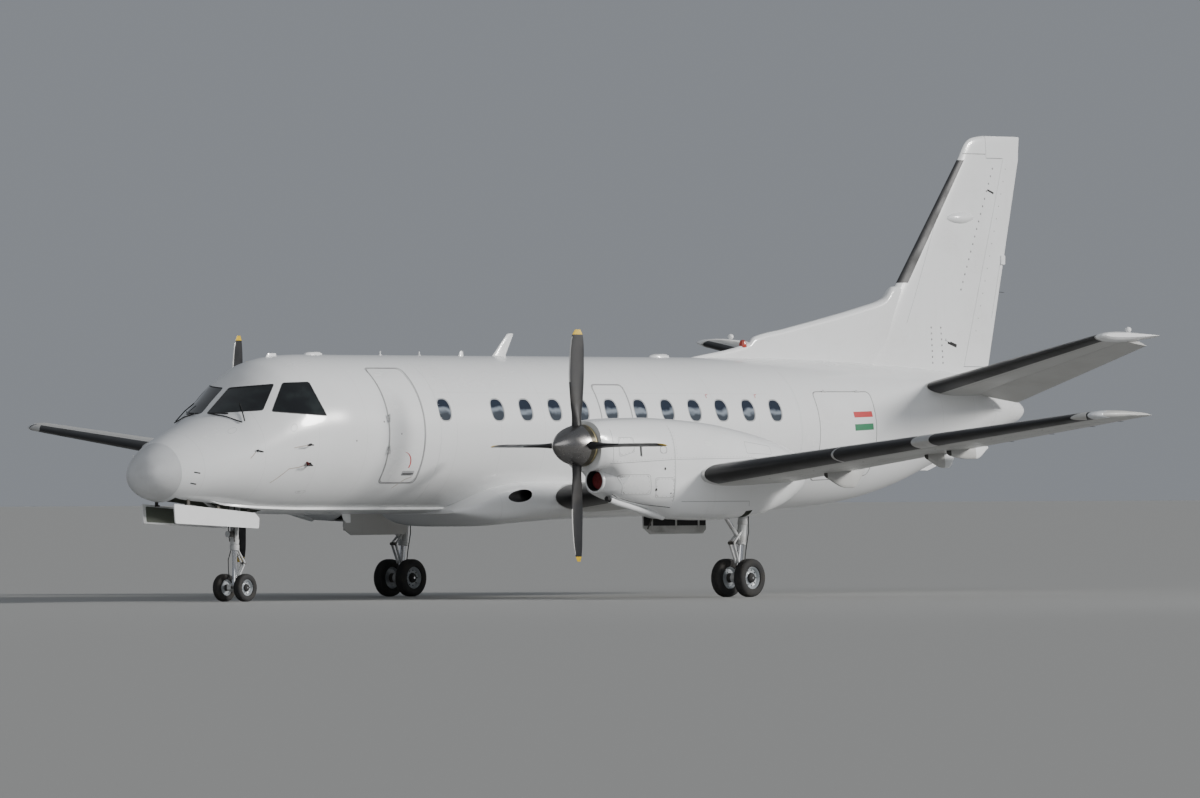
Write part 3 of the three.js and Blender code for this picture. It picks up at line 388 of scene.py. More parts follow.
def weathering_group():
    """Soft patches of dirt, and streaks that run down."""
    n, given, result = shader_group("Weathering", ("Patches", "Streaks"), Scale=1.0)
    patches = n.noise((0.6, 1.0, 1.0), given["Scale"], 6.0, 0.6)
    n.put(result["Patches"], n.ramp(patches, 0.42, 0.78))
    streaks = n.noise((1.0, 0.5, 0.08), n.maths("MULTIPLY", given["Scale"], 4.0), 5.0, 0.65)
    n.put(result["Streaks"], n.ramp(streaks, 0.52, 0.8))
    return n.tree


def seams_group():
    """Thin lines across X at an even spacing, where skin panels meet."""
    n, given, result = shader_group("Seams", ("Line",), Spacing=1.0, Width=0.003)
    share = n.maths("FRACT", n.maths("DIVIDE", n.along("X"), given["Spacing"]))
    distance = n.maths("MULTIPLY", n.maths("ABSOLUTE", n.maths("SUBTRACT", share, 0.5)), given["Spacing"])
    n.put(result["Line"], n.ramp(distance, 0.0, given["Width"], 1.0, 0.0))
    return n.tree


def grain_group():
    """Fine unevenness of paint, rubber or cast metal, as a height."""
    n, given, result = shader_group("Grain", ("Height",), Scale=60.0)
    n.put(result["Height"], n.noise((1, 1, 1), given["Scale"], 3.0, 0.5))
    return n.tree


WEATHERING = weathering_group()
SEAMS = seams_group()
GRAIN = grain_group()


def surface(name):
    """A new material, the calls that fill its tree, and one that sets its shader's own sockets."""
    made = bpy.data.materials.new(name)
    made.use_nodes = True
    n = Nodes(made.node_tree)

    def look(**given):
        for key, value in given.items():
            n.put(made.node_tree.nodes["Principled BSDF"].inputs[key.replace("_", " ")], value)
        return made

    return n, look


def finish(name, colour, roughness, dirt, dirt_share, scale, grain=60.0, bump=0.0004, metallic=0.0, coat=0.0,
           seams=None, streak_share=0.0):
    """A painted, rubber or metal surface with patches, streaks, panel seams and a fine grain."""
    n, look = surface(name)
    worn = n.group(WEATHERING, Scale=scale)
    patches = n.maths("MULTIPLY", worn["Patches"], dirt_share)
    amount = n.maths("MAXIMUM", patches, n.maths("MULTIPLY", worn["Streaks"], streak_share))
    colour_now = n.mix(amount, (*colour, 1), (*dirt, 1))
    height = n.group(GRAIN, Scale=grain)["Height"]
    if seams:
        line = n.group(SEAMS, Spacing=seams, Width=0.004)["Line"]
        colour_now = n.mix(n.maths("MULTIPLY", line, 0.35), colour_now, (*(0.45 * c for c in colour), 1))
        height = n.maths("SUBTRACT", height, n.maths("MULTIPLY", line, 2.0))
    bumped = n.new("ShaderNodeBump", {"Strength": 0.5, "Distance": bump, "Height": height})
    return look(Base_Color=colour_now, Roughness=n.maths("ADD", roughness, n.maths("MULTIPLY", amount, 0.5)),
                Normal=bumped[0], Metallic=metallic, Coat_Weight=coat, Coat_Roughness=0.06)


# Heights of the painted band of light in a cabin window: its foot, middle and top
PAINTED_LIGHT_BAND = (2.675, 2.735, 2.8)


def window_finish(name):
    """Cabin glazing with painted light and shade: darker towards the top, with a painted band of light across
    the middle.
    """
    n, look = surface(name)
    foot, middle, top = PAINTED_LIGHT_BAND
    uneven = n.maths("SUBTRACT", n.noise((1.0, 1.0, 1.4), 3.5, 3.0, 0.5), 0.5)
    height = n.maths("ADD", n.along("Z"), n.maths("MULTIPLY", uneven, 0.22))
    # Painted light: a pale band across the middle of the pane, and painted shade that darkens it towards the
    # top
    band = n.maths("MULTIPLY", n.ramp(height, foot, middle), n.ramp(height, middle, top, 1.0, 0.0))
    base = n.mix(n.ramp(height, foot, top), (0.05, 0.06, 0.075, 1), (0.014, 0.022, 0.04, 1))
    return look(Base_Color=n.mix(n.maths("MULTIPLY", band, 0.75), base, (0.33, 0.38, 0.44, 1)),
                Roughness=0.07, Coat_Weight=0.5)


def glass_finish(name, colour, tint, scale):
    """Dark glazing with a faint uneven tone of painted reflection and shade."""
    n, look = surface(name)
    # Painted reflection and shade: noise mixes the dark colour towards the paler tint
    share = n.ramp(n.noise((1.0, 1.0, 1.6), scale, 3.0, 0.5), 0.4, 0.7)
    return look(Base_Color=n.mix(share, (*colour, 1), (*tint, 1)), Roughness=0.05, Coat_Weight=0.6)


# Each finish has a colour, a roughness, and its dirt's colour, share and scale.
WHITE = finish("white_gloss", (0.84, 0.85, 0.855), 0.22, (0.55, 0.54, 0.52), 0.16, 0.8, bump=0.0002,
               coat=0.35, seams=0.96, streak_share=0.1)
WHITE_PLAIN = finish("white_gloss_plain", (0.84, 0.85, 0.855), 0.22, (0.5, 0.48, 0.45), 0.2, 1.4, bump=0.0002,
                     coat=0.35, streak_share=0.14)
RADOME = finish("radome_paint", (0.68, 0.69, 0.7), 0.3, (0.42, 0.41, 0.4), 0.35, 2.2, bump=0.0003, coat=0.2)
WING_TOP = finish("wing_grey", (0.5, 0.5, 0.485), 0.38, (0.3, 0.28, 0.25), 0.25, 1.1, bump=0.0003, coat=0.1,
                  seams=0.55, streak_share=0.15)
WING_EDGE = finish("bare_metal", (0.62, 0.62, 0.61), 0.28, (0.3, 0.29, 0.27), 0.3, 4.0, metallic=0.9)
BOOT = finish("boot_rubber", (0.01, 0.01, 0.011), 0.38, (0.05, 0.048, 0.045), 0.4, 2.5, bump=0.0006)
FIN_BOOT = finish("fin_boot_rubber", (0.035, 0.035, 0.038), 0.45, (0.1, 0.1, 0.095), 0.4, 2.5, bump=0.0006)
BLADE = finish("blade_grey", (0.013, 0.0135, 0.016), 0.4, (0.035, 0.034, 0.033), 0.4, 5.0)
CUFF = finish("root_cuff", (0.012, 0.012, 0.013), 0.42, (0.06, 0.055, 0.05), 0.4, 5.0)
YELLOW = finish("tip_yellow", (0.78, 0.52, 0.02), 0.4, (0.3, 0.2, 0.05), 0.4, 12.0)
SPINNER = finish("spinner_metal", (0.3, 0.29, 0.285), 0.26, (0.12, 0.11, 0.1), 0.5, 5.0, metallic=1.0,
                 bump=0.0002)
WORN_RING = finish("worn_ring", (0.42, 0.36, 0.2), 0.35, (0.07, 0.065, 0.045), 0.95, 5.0, metallic=0.6)
SPINNER_BACK = finish("spinner_back", (0.075, 0.07, 0.055), 0.32, (0.2, 0.17, 0.1), 0.5, 6.0, metallic=0.7)
TYRE = finish("tyre_rubber", (0.022, 0.022, 0.023), 0.78, (0.1, 0.09, 0.075), 0.45, 7.0, grain=220.0,
              bump=0.001)
RIM = finish("rim_paint", (0.4, 0.43, 0.455), 0.35, (0.09, 0.085, 0.08), 0.5, 16.0, coat=0.2)
GEAR = finish("gear_paint", (0.6, 0.61, 0.61), 0.38, (0.14, 0.12, 0.1), 0.5, 7.0, coat=0.15,
              streak_share=0.3)
GEAR_DARK = finish("gear_dark", (0.07, 0.068, 0.065), 0.5, (0.2, 0.17, 0.13), 0.5, 8.0, metallic=0.3)
CHROME = finish("piston_chrome", (0.75, 0.75, 0.76), 0.12, (0.3, 0.28, 0.25), 0.15, 20.0, metallic=1.0)
HOSE = finish("hose_rubber", (0.02, 0.02, 0.02), 0.6, (0.1, 0.09, 0.08), 0.3, 20.0)
BAY = finish("bay_green", (0.1, 0.115, 0.09), 0.55, (0.05, 0.045, 0.04), 0.6, 4.0)
BAY_GREY = finish("bay_grey", (0.56, 0.56, 0.54), 0.5, (0.1, 0.09, 0.08), 0.6, 3.0)
DARK = finish("dark_recess", (0.012, 0.012, 0.013), 0.7, (0.05, 0.045, 0.04), 0.4, 9.0)
SEAL = finish("window_seal", (0.035, 0.035, 0.037), 0.55, (0.15, 0.145, 0.14), 0.3, 12.0)
FRAME_GREY = finish("window_frame", (0.42, 0.43, 0.44), 0.35, (0.2, 0.2, 0.19), 0.4, 12.0)
LINER = finish("cabin_liner", (0.42, 0.4, 0.36), 0.7, (0.2, 0.18, 0.15), 0.4, 3.0)
RED = finish("red_paint", (0.55, 0.04, 0.045), 0.4, (0.25, 0.06, 0.05), 0.35, 14.0)
GREEN = finish("green_paint", (0.03, 0.22, 0.1), 0.4, (0.06, 0.14, 0.09), 0.35, 14.0)
BEACON = finish("beacon_lens", (0.5, 0.05, 0.03), 0.12, (0.2, 0.03, 0.02), 0.4, 30.0, coat=0.8)
LENS = finish("clear_lens", (0.62, 0.64, 0.66), 0.08, (0.35, 0.35, 0.35), 0.4, 30.0, coat=1.0)
PLUG_RED = finish("plug_red", (0.16, 0.012, 0.014), 0.75, (0.05, 0.01, 0.01), 0.6, 12.0, bump=0.002)
ENGINE_IRON = finish("engine_iron", (0.2, 0.2, 0.21), 0.6, (0.08, 0.07, 0.06), 0.5, 8.0, metallic=0.6)
LINE = finish("grey_line", (0.33, 0.335, 0.34), 0.5, (0.16, 0.155, 0.15), 0.5, 6.0)
FAINT_LINE = finish("faint_line", (0.56, 0.565, 0.57), 0.4, (0.3, 0.3, 0.29), 0.5, 5.0)
SKIN_STREAK = finish("skin_streak", (0.42, 0.36, 0.31), 0.5, (0.62, 0.6, 0.57), 0.8, 9.0)
FASTENER = finish("fastener_metal", (0.34, 0.34, 0.34), 0.4, (0.14, 0.13, 0.12), 0.5, 30.0, metallic=0.6)
COCKPIT_GLASS = glass_finish("cockpit_glass", (0.004, 0.005, 0.006), (0.018, 0.024, 0.024), 2.4)
CABIN_GLASS = window_finish("cabin_glass")

# Fuselage. The columns are station, top, bottom, half width and height of the widest place.
BODY_ROWS = [
    (0, 1.85, 1.75, 0.06, 1.8), (0.05, 1.975, 1.64, 0.2, 1.802), (0.15, 2.095, 1.545, 0.325, 1.81),
    (0.35, 2.235, 1.46, 0.47, 1.83), (0.65, 2.385, 1.412, 0.62, 1.87), (1.0, 2.52, 1.392, 0.755, 1.935),
    (1.38, 2.68, 1.365, 0.87, 2.02), (1.64, 2.88, 1.33, 0.935, 2.09), (1.9, 3.085, 1.3, 0.99, 2.16),
    (2.15, 3.29, 1.28, 1.035, 2.23), (2.45, 3.45, 1.262, 1.08, 2.3), (2.9, 3.535, 1.25, 1.125, 2.36),
    (3.4, 3.555, 1.245, 1.155, 2.4), (12.4, 3.555, 1.245, 1.155, 2.4), (13.3, 3.552, 1.258, 1.13, 2.41),
    (14.3, 3.54, 1.29, 1.065, 2.43), (15.3, 3.515, 1.385, 0.965, 2.47), (16.3, 3.47, 1.58, 0.82, 2.545),
    (17.3, 3.415, 1.89, 0.65, 2.66), (18.3, 3.33, 2.21, 0.46, 2.79), (18.95, 3.19, 2.43, 0.33, 2.84),
    (19.35, 3.03, 2.545, 0.24, 2.81), (19.62, 2.89, 2.61, 0.17, 2.77), (19.7, 2.83, 2.66, 0.095, 2.76),
]
NOSE_ROUND = 0.05
TAIL_ROUND, TAIL_END = 19.56, 19.7
RADOME_SEAM, NOSE_SEAM, REAR_SEAM, CONE_SEAM = 0.42, 5.2, 13.25, 18.7
SEAM_GAP = 0.0015
BODY_SIDES = 96


def body_section(station):
    """Top, bottom, half width and widest height, drawn in to a dome at the nose and at the tail."""
    top, bottom, half, wide = row_at(BODY_ROWS, min(max(station, NOSE_ROUND), TAIL_ROUND))
    share = 1.0
    if station < NOSE_ROUND:
        share = sqrt(max(station, 0) / NOSE_ROUND)
    elif station > TAIL_ROUND:
        share = sqrt(max(0, 1 - ((station - TAIL_ROUND) / (TAIL_END - TAIL_ROUND)) ** 2))
    share = max(share, 0.004)
    return wide + (top - wide) * share, wide - (wide - bottom) * share, half * share, wide


def body_at(station, angle, rise=0.0, side=1):
    """Skin point at an angle in degrees above the widest line, moved out by rise along the normal."""
    def point(s, a):
        top, bottom, half, wide = body_section(s)
        up = top - wide if sin(a) > 0 else wide - bottom
        return Vector((x_of(s), half * cos(a), wide + up * sin(a)))

    a = radians(angle)
    here = point(station, a)
    if rise:
        nudge = 1e-3
        along = point(station + nudge, a) - point(station - nudge, a)
        around = point(station, a + nudge) - point(station, a - nudge)
        normal = around.cross(along).normalized()
        if normal.dot(Vector((0, cos(a), sin(a)))) < 0:
            normal.negate()
        here += normal * rise
    return Vector((here.x, side * here.y, here.z))


def angle_at(station, z):
    """The angle of a height on the section's upper or lower half."""
    top, bottom, _, wide = body_section(station)
    reach = top - wide if z > wide else wide - bottom
    return degrees(asin(max(-1, min(1, (z - wide) / reach))))


def body_stations(start, stop):
    found = [start]
    while found[-1] < stop - 1e-6:
        s = found[-1]
        gap = 0.008 if s < 0.05 else 0.03 if s < 0.4 else 0.05 if s < 3.4 else 0.3 if s < 12.3 else 0.12
        if s >= TAIL_ROUND - 0.01:
            gap = 0.012
        found.append(min(stop, s + gap))
    return found


def body_ring(station, depth=0.0):
    top, bottom, half, wide = body_section(station)
    top, bottom = top - depth, bottom + depth
    return [(x_of(station), (half - depth) * cos(a),
             wide + (top - wide if sin(a) > 0 else wide - bottom) * sin(a)) for a in turns(BODY_SIDES)]


def body_shape(start, stop, depth=0.0, slot=0):
    return Shape().rings([body_ring(s, depth) for s in body_stations(start, stop)], slot)


def rounded(corners, radius, arc=5, stretch=1.0):
    """An outline with round corners. stretch makes the second coordinate's units like the first's."""
    points = []
    count = len(corners)
    for i in range(count):
        before, here, after = (np.array(corners[(i + j) % count], float) * (1, stretch) for j in (-1, 0, 1))
        one, two = before - here, after - here
        one_length, two_length = np.linalg.norm(one), np.linalg.norm(two)
        one, two = one / one_length, two / two_length
        half = acos(max(-1, min(1, float(one @ two)))) / 2
        back = min(radius / tan(half), 0.45 * one_length, 0.45 * two_length)
        start, end = here + one * back, here + two * back
        for k in range(arc + 1):
            t = k / arc
            curve = (1 - t) ** 2 * start + 2 * t * (1 - t) * here + t * t * end
            points.append((curve[0], curve[1] / stretch))
    return points


def filled_in(outline, longest, stretch=1.0):
    """The same outline with points added where two are far apart."""
    points = []
    for i, here in enumerate(outline):
        after = outline[(i + 1) % len(outline)]
        length = hypot(after[0] - here[0], (after[1] - here[1]) * stretch)
        count = max(1, ceil(length / longest))
        points += [tuple(blend(a, b, k / count) for a, b in zip(here, after)) for k in range(count)]
    return points


# Metres round the skin for each degree
PER_DEGREE = radians(1) * BODY_RADIUS


def station_and_angle(point):
    """Where on the skin a point near it lies, as a station and an angle."""
    station = point[0] + LENGTH / 2
    top, bottom, half, wide = body_section(station)
    reach = top - wide if point[2] > wide else wide - bottom
    return station, degrees(atan2((point[2] - wide) / reach, abs(point[1]) / half))


# Towards the photo's viewpoint, mirrored to starboard
PANE_VIEW = Vector((-0.748, 0.664, 0))


def straight_sided(corners):
    """The outline of a flat pane on the skin: straight between its corners as seen along PANE_VIEW."""
    points = []
    for i, here in enumerate(corners):
        start, end = body_at(*here), body_at(*corners[(i + 1) % len(corners)])
        count = max(3, round((end - start).length / 0.04))
        for k in range(count):
            spot = start.lerp(end, k / count)
            for _ in range(8):
                at = station_and_angle(spot)
                skin = body_at(*at)
                outward = (body_at(*at, 0.01) - skin).normalized()
                spot += PANE_VIEW * ((skin - spot).dot(outward) / PANE_VIEW.dot(outward))
            points.append(station_and_angle(spot))
    return eased_corners(points, corners)


def eased_corners(points, corners):
    """Rounds the corners of a dense outline."""
    kept = [p for p in points if min(
        hypot(p[0] - s, (p[1] - a) * PER_DEGREE) for s, a in corners) > 1e-6]
    outline = []
    for i, here in enumerate(kept):
        after = kept[(i + 1) % len(kept)]
        outline.append(here)
        for s, a in corners:
            near = [hypot(p[0] - s, (p[1] - a) * PER_DEGREE) for p in (here, after)]
            if max(near) < 0.06:
                for t in (0.25, 0.5, 0.75):
                    bend = [(1 - t) ** 2 * p + 2 * t * (1 - t) * c + t * t * q
                            for p, c, q in zip(here, (s, a), after)]
                    outline.append(tuple(bend))
    return outline


def body_skin(side=1):
    """A finder of spots on the fuselage's skin, with their normals, by station and angle."""
    def place(station, angle):
        spot = body_at(station, angle, 0, side)
        return spot, (body_at(station, angle, 0.01, side) - spot).normalized()

    return place


def skin_of(obj, toward, start):
    """A finder of spots on an object by a ray, from a station and the coordinate that the ray leaves free."""
    mesh = obj.data
    tree = BVHTree.FromPolygons([v.co for v in mesh.vertices], [tuple(p.vertices) for p in mesh.polygons])
    toward = Vector(toward)

    def place(station, other):
        origin = (x_of(station), start, other) if toward.y else (x_of(station), other, start)
        spot, normal, _, _ = tree.ray_cast(Vector(origin), toward)
        if spot is None:
            return None
        return spot, -normal if normal.dot(toward) > 0 else normal

    return place


def plug(place, outline, outer, inner, wall=0, floor=0, top=0, levels=4, inner_outline=None):
    """A plug through a skin with the given outline, from outer above the skin to inner below it."""
    n = len(outline)
    half = levels * n + 1
    points, faces, slots = [], [], []
    for loop, rise in ((outline, outer), (inner_outline or outline, -inner)):
        middle = np.mean(np.array(loop), axis=0)
        for level in range(levels + 1):
            share = 1 - level / levels
            around = loop if share else [middle]
            for s, a in around:
                spot, normal = place(blend(middle[0], s, share), blend(middle[1], a, share))
                points.append(spot + normal * rise)
    for which, slot in ((0, top), (1, floor)):
        base = which * half
        for level in range(levels - 1):
            for k in range(n):
                a, b = base + level * n + k, base + level * n + (k + 1) % n
                faces.append((a, b, b + n, a + n))
                slots.append(slot)
        last = base + (levels - 1) * n
        faces += [(last + k, last + (k + 1) % n, base + half - 1) for k in range(n)]
        slots += [slot] * n
    faces += [(k, half + k, half + (k + 1) % n, (k + 1) % n) for k in range(n)]
    slots += [wall] * n
    return Shape().add(points, faces, slots)


def body_plug(outline, outer, inner, side=1, *rest):
    return plug(body_skin(side), outline, outer, inner, *rest)


def patch(shape, place, outline, slot=0, outer=0.001, inner=0.001, levels=2):
    """Adds a thin plate of one finish, laid on a skin."""
    return shape.take(plug(place, outline, outer, inner, slot, slot, slot, levels))


def spots_along(place, path, step, closed=False):
    """Spots at an even spacing along a path over a skin."""
    corners = list(path) + [path[0]] * closed
    spots = []
    for here, after in zip(corners, corners[1:]):
        first, last = place(*here), place(*after)
        length = (first[0] - last[0]).length if first and last else 0.3
        count = max(1, round(length / step))
        spots += [place(*(blend(a, b, k / count) for a, b in zip(here, after))) for k in range(count)]
    if not closed:
        spots.append(place(*corners[-1]))
    return [spot for spot in spots if spot]


def laid(shape, place, path, width, slot=0, closed=False, rise=0.001, step=0.04):
    """A flat strip that follows a path over a skin."""
    spots = spots_along(place, path, step, closed)
    if len(spots) < 2:
        return shape
    rings = []
    for i, (spot, normal) in enumerate(spots):
        before = spots[i - 1][0] if i or closed else spot
        ahead = spots[(i + 1) % len(spots)][0] if i < len(spots) - 1 or closed else spot
        side = normal.cross(ahead - before).normalized() * (width / 2)
        sunk = normal * -0.002
        over = normal * rise
        rings.append([spot + side + sunk, spot + side + over, spot - side + over, spot - side + sunk])
    if closed:
        rings.append(rings[0])
    return shape.rings(rings, slot, (not closed, not closed))


def disc(s, other, radius, stretch=1.0):
    """A round outline whose second coordinate is drawn out by stretch."""
    return [(s + radius * cos(a), other + radius * stretch * sin(a)) for a in turns(18)]


def rivet_tree():
    """Puts a low domed head, turned to the skin, on each point of a mesh."""
    tree = bpy.data.node_groups.new("Rivets", "GeometryNodeTree")
    for name, kind in (("Geometry", "Geometry"), ("Head Radius", "Float"), ("Finish", "Material")):
        tree.interface.new_socket(name=name, in_out="INPUT", socket_type=f"NodeSocket{kind}")
    tree.interface.new_socket(name="Geometry", in_out="OUTPUT", socket_type="NodeSocketGeometry")
    n = Nodes(tree)
    given, result = n.ends()
    radius = given["Head Radius"]
    head = n.new("GeometryNodeMeshCone", {
        "Vertices": 8, "Radius Bottom": radius, "Radius Top": n.maths("MULTIPLY", radius, 0.6),
        "Depth": n.maths("MULTIPLY", radius, 0.35),
    })
    facing = n.new("GeometryNodeInputNamedAttribute", {"Name": "facing"}, data_type="FLOAT_VECTOR")
    heads = n.new("GeometryNodeInstanceOnPoints", {
        "Points": n.new("GeometryNodeMeshToPoints", {"Mesh": given["Geometry"]})[0], "Instance": head["Mesh"],
        "Rotation": n.new("FunctionNodeAlignRotationToVector", {"Vector": facing["Attribute"]}, axis="Z")[0],
    })
    real = n.new("GeometryNodeRealizeInstances", {0: heads[0]})
    finished = n.new("GeometryNodeSetMaterial", {"Geometry": real[0], "Material": given["Finish"]})
    n.put(result["Geometry"], finished[0])
    return tree


RIVETS = rivet_tree()


def riveted(name, spots, radius, material):
    """A mesh of rivet heads at spots on a skin."""
    mesh = bpy.data.meshes.new(name)
    mesh.from_pydata([spot for spot, _ in spots], [], [])
    facing = mesh.attributes.new("facing", "FLOAT_VECTOR", "POINT")
    facing.data.foreach_set("vector", [c for _, normal in spots for c in normal])
    made = linked(name, mesh)
    change = made.modifiers.new("rivets", "NODES")
    change.node_group = RIVETS
    given = {"Head Radius": radius, "Finish": material}
    for item in RIVETS.interface.items_tree:
        if item.in_out == "INPUT" and item.name in given:
            change[item.identifier] = given[item.name]
    return baked(made)


def rivet_twins(name, spots, radius, material, slot):
    twins(name, riveted(f"right_{name}", spots, radius, material), "airframe", slot=slot)


def shrunk(outline, inset):
    """The outline moved in by a width."""
    points = np.array(outline, float) * (1, PER_DEGREE)
    middle = points.mean(axis=0)
    made = []
    for i, here in enumerate(points):
        along = points[(i + 1) % len(points)] - points[i - 1]
        normal = np.array((-along[1], along[0]))
        normal /= np.linalg.norm(normal) + 1e-12
        if normal @ (middle - here) < 0:
            normal = -normal
        moved = here + normal * inset
        made.append((moved[0], moved[1] / PER_DEGREE))
    return made


def body_frame(shape, outline, width, outer, inner, side=1, slot=0):
    """A ring of the given width along an outline, between two depths."""
    inside = shrunk(outline, width)
    rings = []
    for loop, rise in ((outline, outer), (inside, outer), (inside, inner), (outline, inner)):
        rings.append([body_at(s, a, rise, side) for s, a in loop])
    rings.append(rings[0])
    return shape.rings(rings, slot, caps=(False, False))


# Openings of the fuselage
CABIN_WINDOWS = (5.324, 6.473, 7.093, 7.725, 8.329, 8.971, 9.619, 10.225, 10.833, 11.443, 12.054, 12.676)
WINDOW = {"z": 2.75, "half_width": 0.148, "half_height": 0.172, "round": 2 / 2.6}
EXIT_WINDOW = 8.971
WINDSCREEN = [(1.405, 86.3), (1.888, 86.8), (2.23, 53.2), (1.862, 40.4)]
SIDE_WINDOW = [(1.955, 34.6), (2.335, 50.0), (2.765, 43.4), (2.86, 14.6)]
PASSENGER_DOOR = {"from": 4.105, "to": 4.84, "low": -37, "high": 55, "corner": 0.09,
                  "hinge_x": 4.08, "hinge_y": 1.172}
CARGO_DOOR = {"from": 13.7, "to": 15.14, "low": -38, "high": 33, "corner": 0.11}
EXIT_HATCH = {"from": 8.74, "to": 9.4, "low": 4, "high": 38.5, "corner": 0.09}
DOOR_THICK = 0.04
DOOR_GAP = 0.005


def window_outline(station, grow=0.0):
    """A cabin window's rounded outline as stations and degrees."""
    points = []
    for a in turns(28):
        s = station + (WINDOW["half_width"] + grow) * power(cos(a), WINDOW["round"])
        z = WINDOW["z"] + (WINDOW["half_height"] + grow) * power(sin(a), WINDOW["round"])
        points.append((s, angle_at(s, z)))
    return points


def window_recess(station, side):
    return body_plug(window_outline(station), 0.02, 0.016, side, 1, 4, 4, 2)


def door_outline(door, grow=0.0):
    low, high = door["low"] - grow / PER_DEGREE, door["high"] + grow / PER_DEGREE
    start, stop = door["from"] - grow, door["to"] + grow
    corners = [(start, low), (stop, low), (stop, high), (start, high)]
    return filled_in(rounded(corners, door["corner"], 8, PER_DEGREE), 0.06, PER_DEGREE)


def door_inner(door, outline):
    """The inner outline of the passenger door, whose aft edge leans so that it swings out past the frame."""
    middle = (door["from"] + door["to"]) / 2
    made = []
    for s, a in outline:
        swing = (door["hinge_y"] - BODY_RADIUS * cos(radians(a))) / (door["to"] - door["from"])
        lean = 1.1 * swing / cos(radians(a)) * DOOR_THICK
        made.append((s - lean if s > middle else s, a))
    return made


def leaf(name, door, inner_outline=None):
    """A port door's leaf: the part of the body's own skin inside the door's outline."""
    outline = door_outline(door)
    inner = inner_outline(door, outline) if inner_outline else None
    skin = solid(name, body_shape(door["from"] - 0.3, door["to"] + 0.3), [WHITE_PLAIN, LINER])
    return cut(skin, body_plug(outline, 0.05, DOOR_THICK, -1, 1, 1, 0, 8, inner), "INTERSECT")


def pocket(door, inner_outline=None):
    """The recess that a port door's leaf shuts into."""
    outline = door_outline(door, DOOR_GAP)
    inner = inner_outline(door, outline) if inner_outline else None
    return body_plug(outline, 0.05, DOOR_THICK + 0.006, -1, 1, 2, 2, 8, inner)


BODY_FINISHES = [WHITE, SEAL, LINER, BAY, DARK]


def body_part(name, start, stop):
    return solid(name, body_shape(start + SEAM_GAP, stop - SEAM_GAP), BODY_FINISHES)


def window_tools(start, stop):
    """Recesses for the cabin and cockpit windows between two stations, on both sides."""
    tool = Shape()
    for side in (1, -1):
        for s in CABIN_WINDOWS:
            if start < s < stop and s != EXIT_WINDOW:
                tool.take(window_recess(s, side))
        if start < WINDSCREEN[1][0] < stop:
            for corners in (WINDSCREEN, SIDE_WINDOW):
                tool.take(body_plug(straight_sided(corners), 0.03, 0.018, side, 1, 4, 4, 5))
    return tool


def nose_section():
    body = body_part("nose_section_skin", RADOME_SEAM, NOSE_SEAM)
    tool = window_tools(RADOME_SEAM, NOSE_SEAM).take(pocket(PASSENGER_DOOR, door_inner))
    cut(body, tool.box((x_of(0.5), -0.3, 0.9), (x_of(2.29), 0.3, 1.76), 3, 0.002))
    cut(body, Shape().box((x_of(4.135), -BODY_RADIUS, 1.745), (x_of(4.81), -0.555, 3.2), 2, 0.01))
    dress(body, "airframe", ["nose_section"], "white_paint")


def middle_fuselage():
    body = body_part("fuselage_skin", NOSE_SEAM, REAR_SEAM)
    tool = window_tools(NOSE_SEAM, REAR_SEAM)
    for side in (1, -1):
        tool.take(body_plug(door_outline(EXIT_HATCH, 0.004), 0.05, 0.03, side, 1, 4, 4, 6))
    dress(cut(body, tool), "airframe", ["fuselage"], "white_paint")


def rear_fuselage():
    body = cut(body_part("rear_fuselage_skin", REAR_SEAM, CONE_SEAM), pocket(CARGO_DOOR))
    hold = solid("hold_tool", body_shape(13.5, 16.15, 0.034, 2), BODY_FINISHES)
    cut(hold, Shape().box((x_of(13.4), -1.2, 1.69), (x_of(16.3), 1.2, 4.0), 2, 0.002), "INTERSECT")
    dress(cut(body, hold), "airframe", ["rear_fuselage"], "white_paint")


def ends_of_body():
    piece("radome_skin", body_shape(0, RADOME_SEAM - SEAM_GAP), [RADOME], "airframe", ["radome"],
          "radome_paint")
    piece("tail_cone_skin", body_shape(CONE_SEAM + SEAM_GAP, TAIL_END), [WHITE_PLAIN], "airframe",
          ["tail_cone"], "white_paint")


def exit_hatches():
    skin = solid("right_exit_hatch_skin", body_shape(8.4, 9.8), BODY_FINISHES)
    cut(skin, body_plug(door_outline(EXIT_HATCH), 0.05, 0.028, 1, 0, 0, 0, 6), "INTERSECT")
    cut(skin, window_recess(EXIT_WINDOW, 1))
    twins("exit_hatch_skin", skin, "airframe", ["SIDE_exit_hatch"], "white_paint")


def cabin_windows():
    """Each window has a frame set into its recess, and a pane behind it."""
    shape = Shape()
    for s in CABIN_WINDOWS:
        outline = window_outline(s, -0.001)
        body_frame(shape, outline, 0.017, -0.002, -0.014)
        patch(shape, body_skin(), shrunk(outline, 0.012), 1, -0.006, 0.0135, 3)
    twin_pieces("cabin_windows", shape, [FRAME_GREY, CABIN_GLASS], "airframe", slot="window_glass", sharp=40)


def cockpit_windows():
    for name, corners in (("windscreen", WINDSCREEN), ("side_window", SIDE_WINDOW)):
        outline = straight_sided(corners)
        shape = body_frame(Shape(), shrunk(outline, 0.0008), 0.011, 0.0012, -0.016)
        patch(shape, body_skin(), shrunk(outline, 0.009), 1, -0.004, 0.016, 6)
        twin_pieces(name, shape, [SEAL, COCKPIT_GLASS], "airframe", slot="window_glass", sharp=40)


HINGE = {"half": 0.02, "step": 0.0404, "radius": 0.01, "arm": 0.007}


def door_hinge(fixed, moving, centre, axis, fixed_arm, moving_arm):
    """A knuckle of the frame between two of the leaf, each with an arm."""
    for shape, step, arm in ((fixed, 0, fixed_arm), (moving, -1, moving_arm), (moving, 1, moving_arm)):
        spot = centre + axis * step * HINGE["step"]
        half = axis * HINGE["half"]
        shape.rod(spot - half, spot + half, HINGE["radius"], sides=16)
        shape.rod(spot, spot + Vector(arm), HINGE["arm"], sides=10)


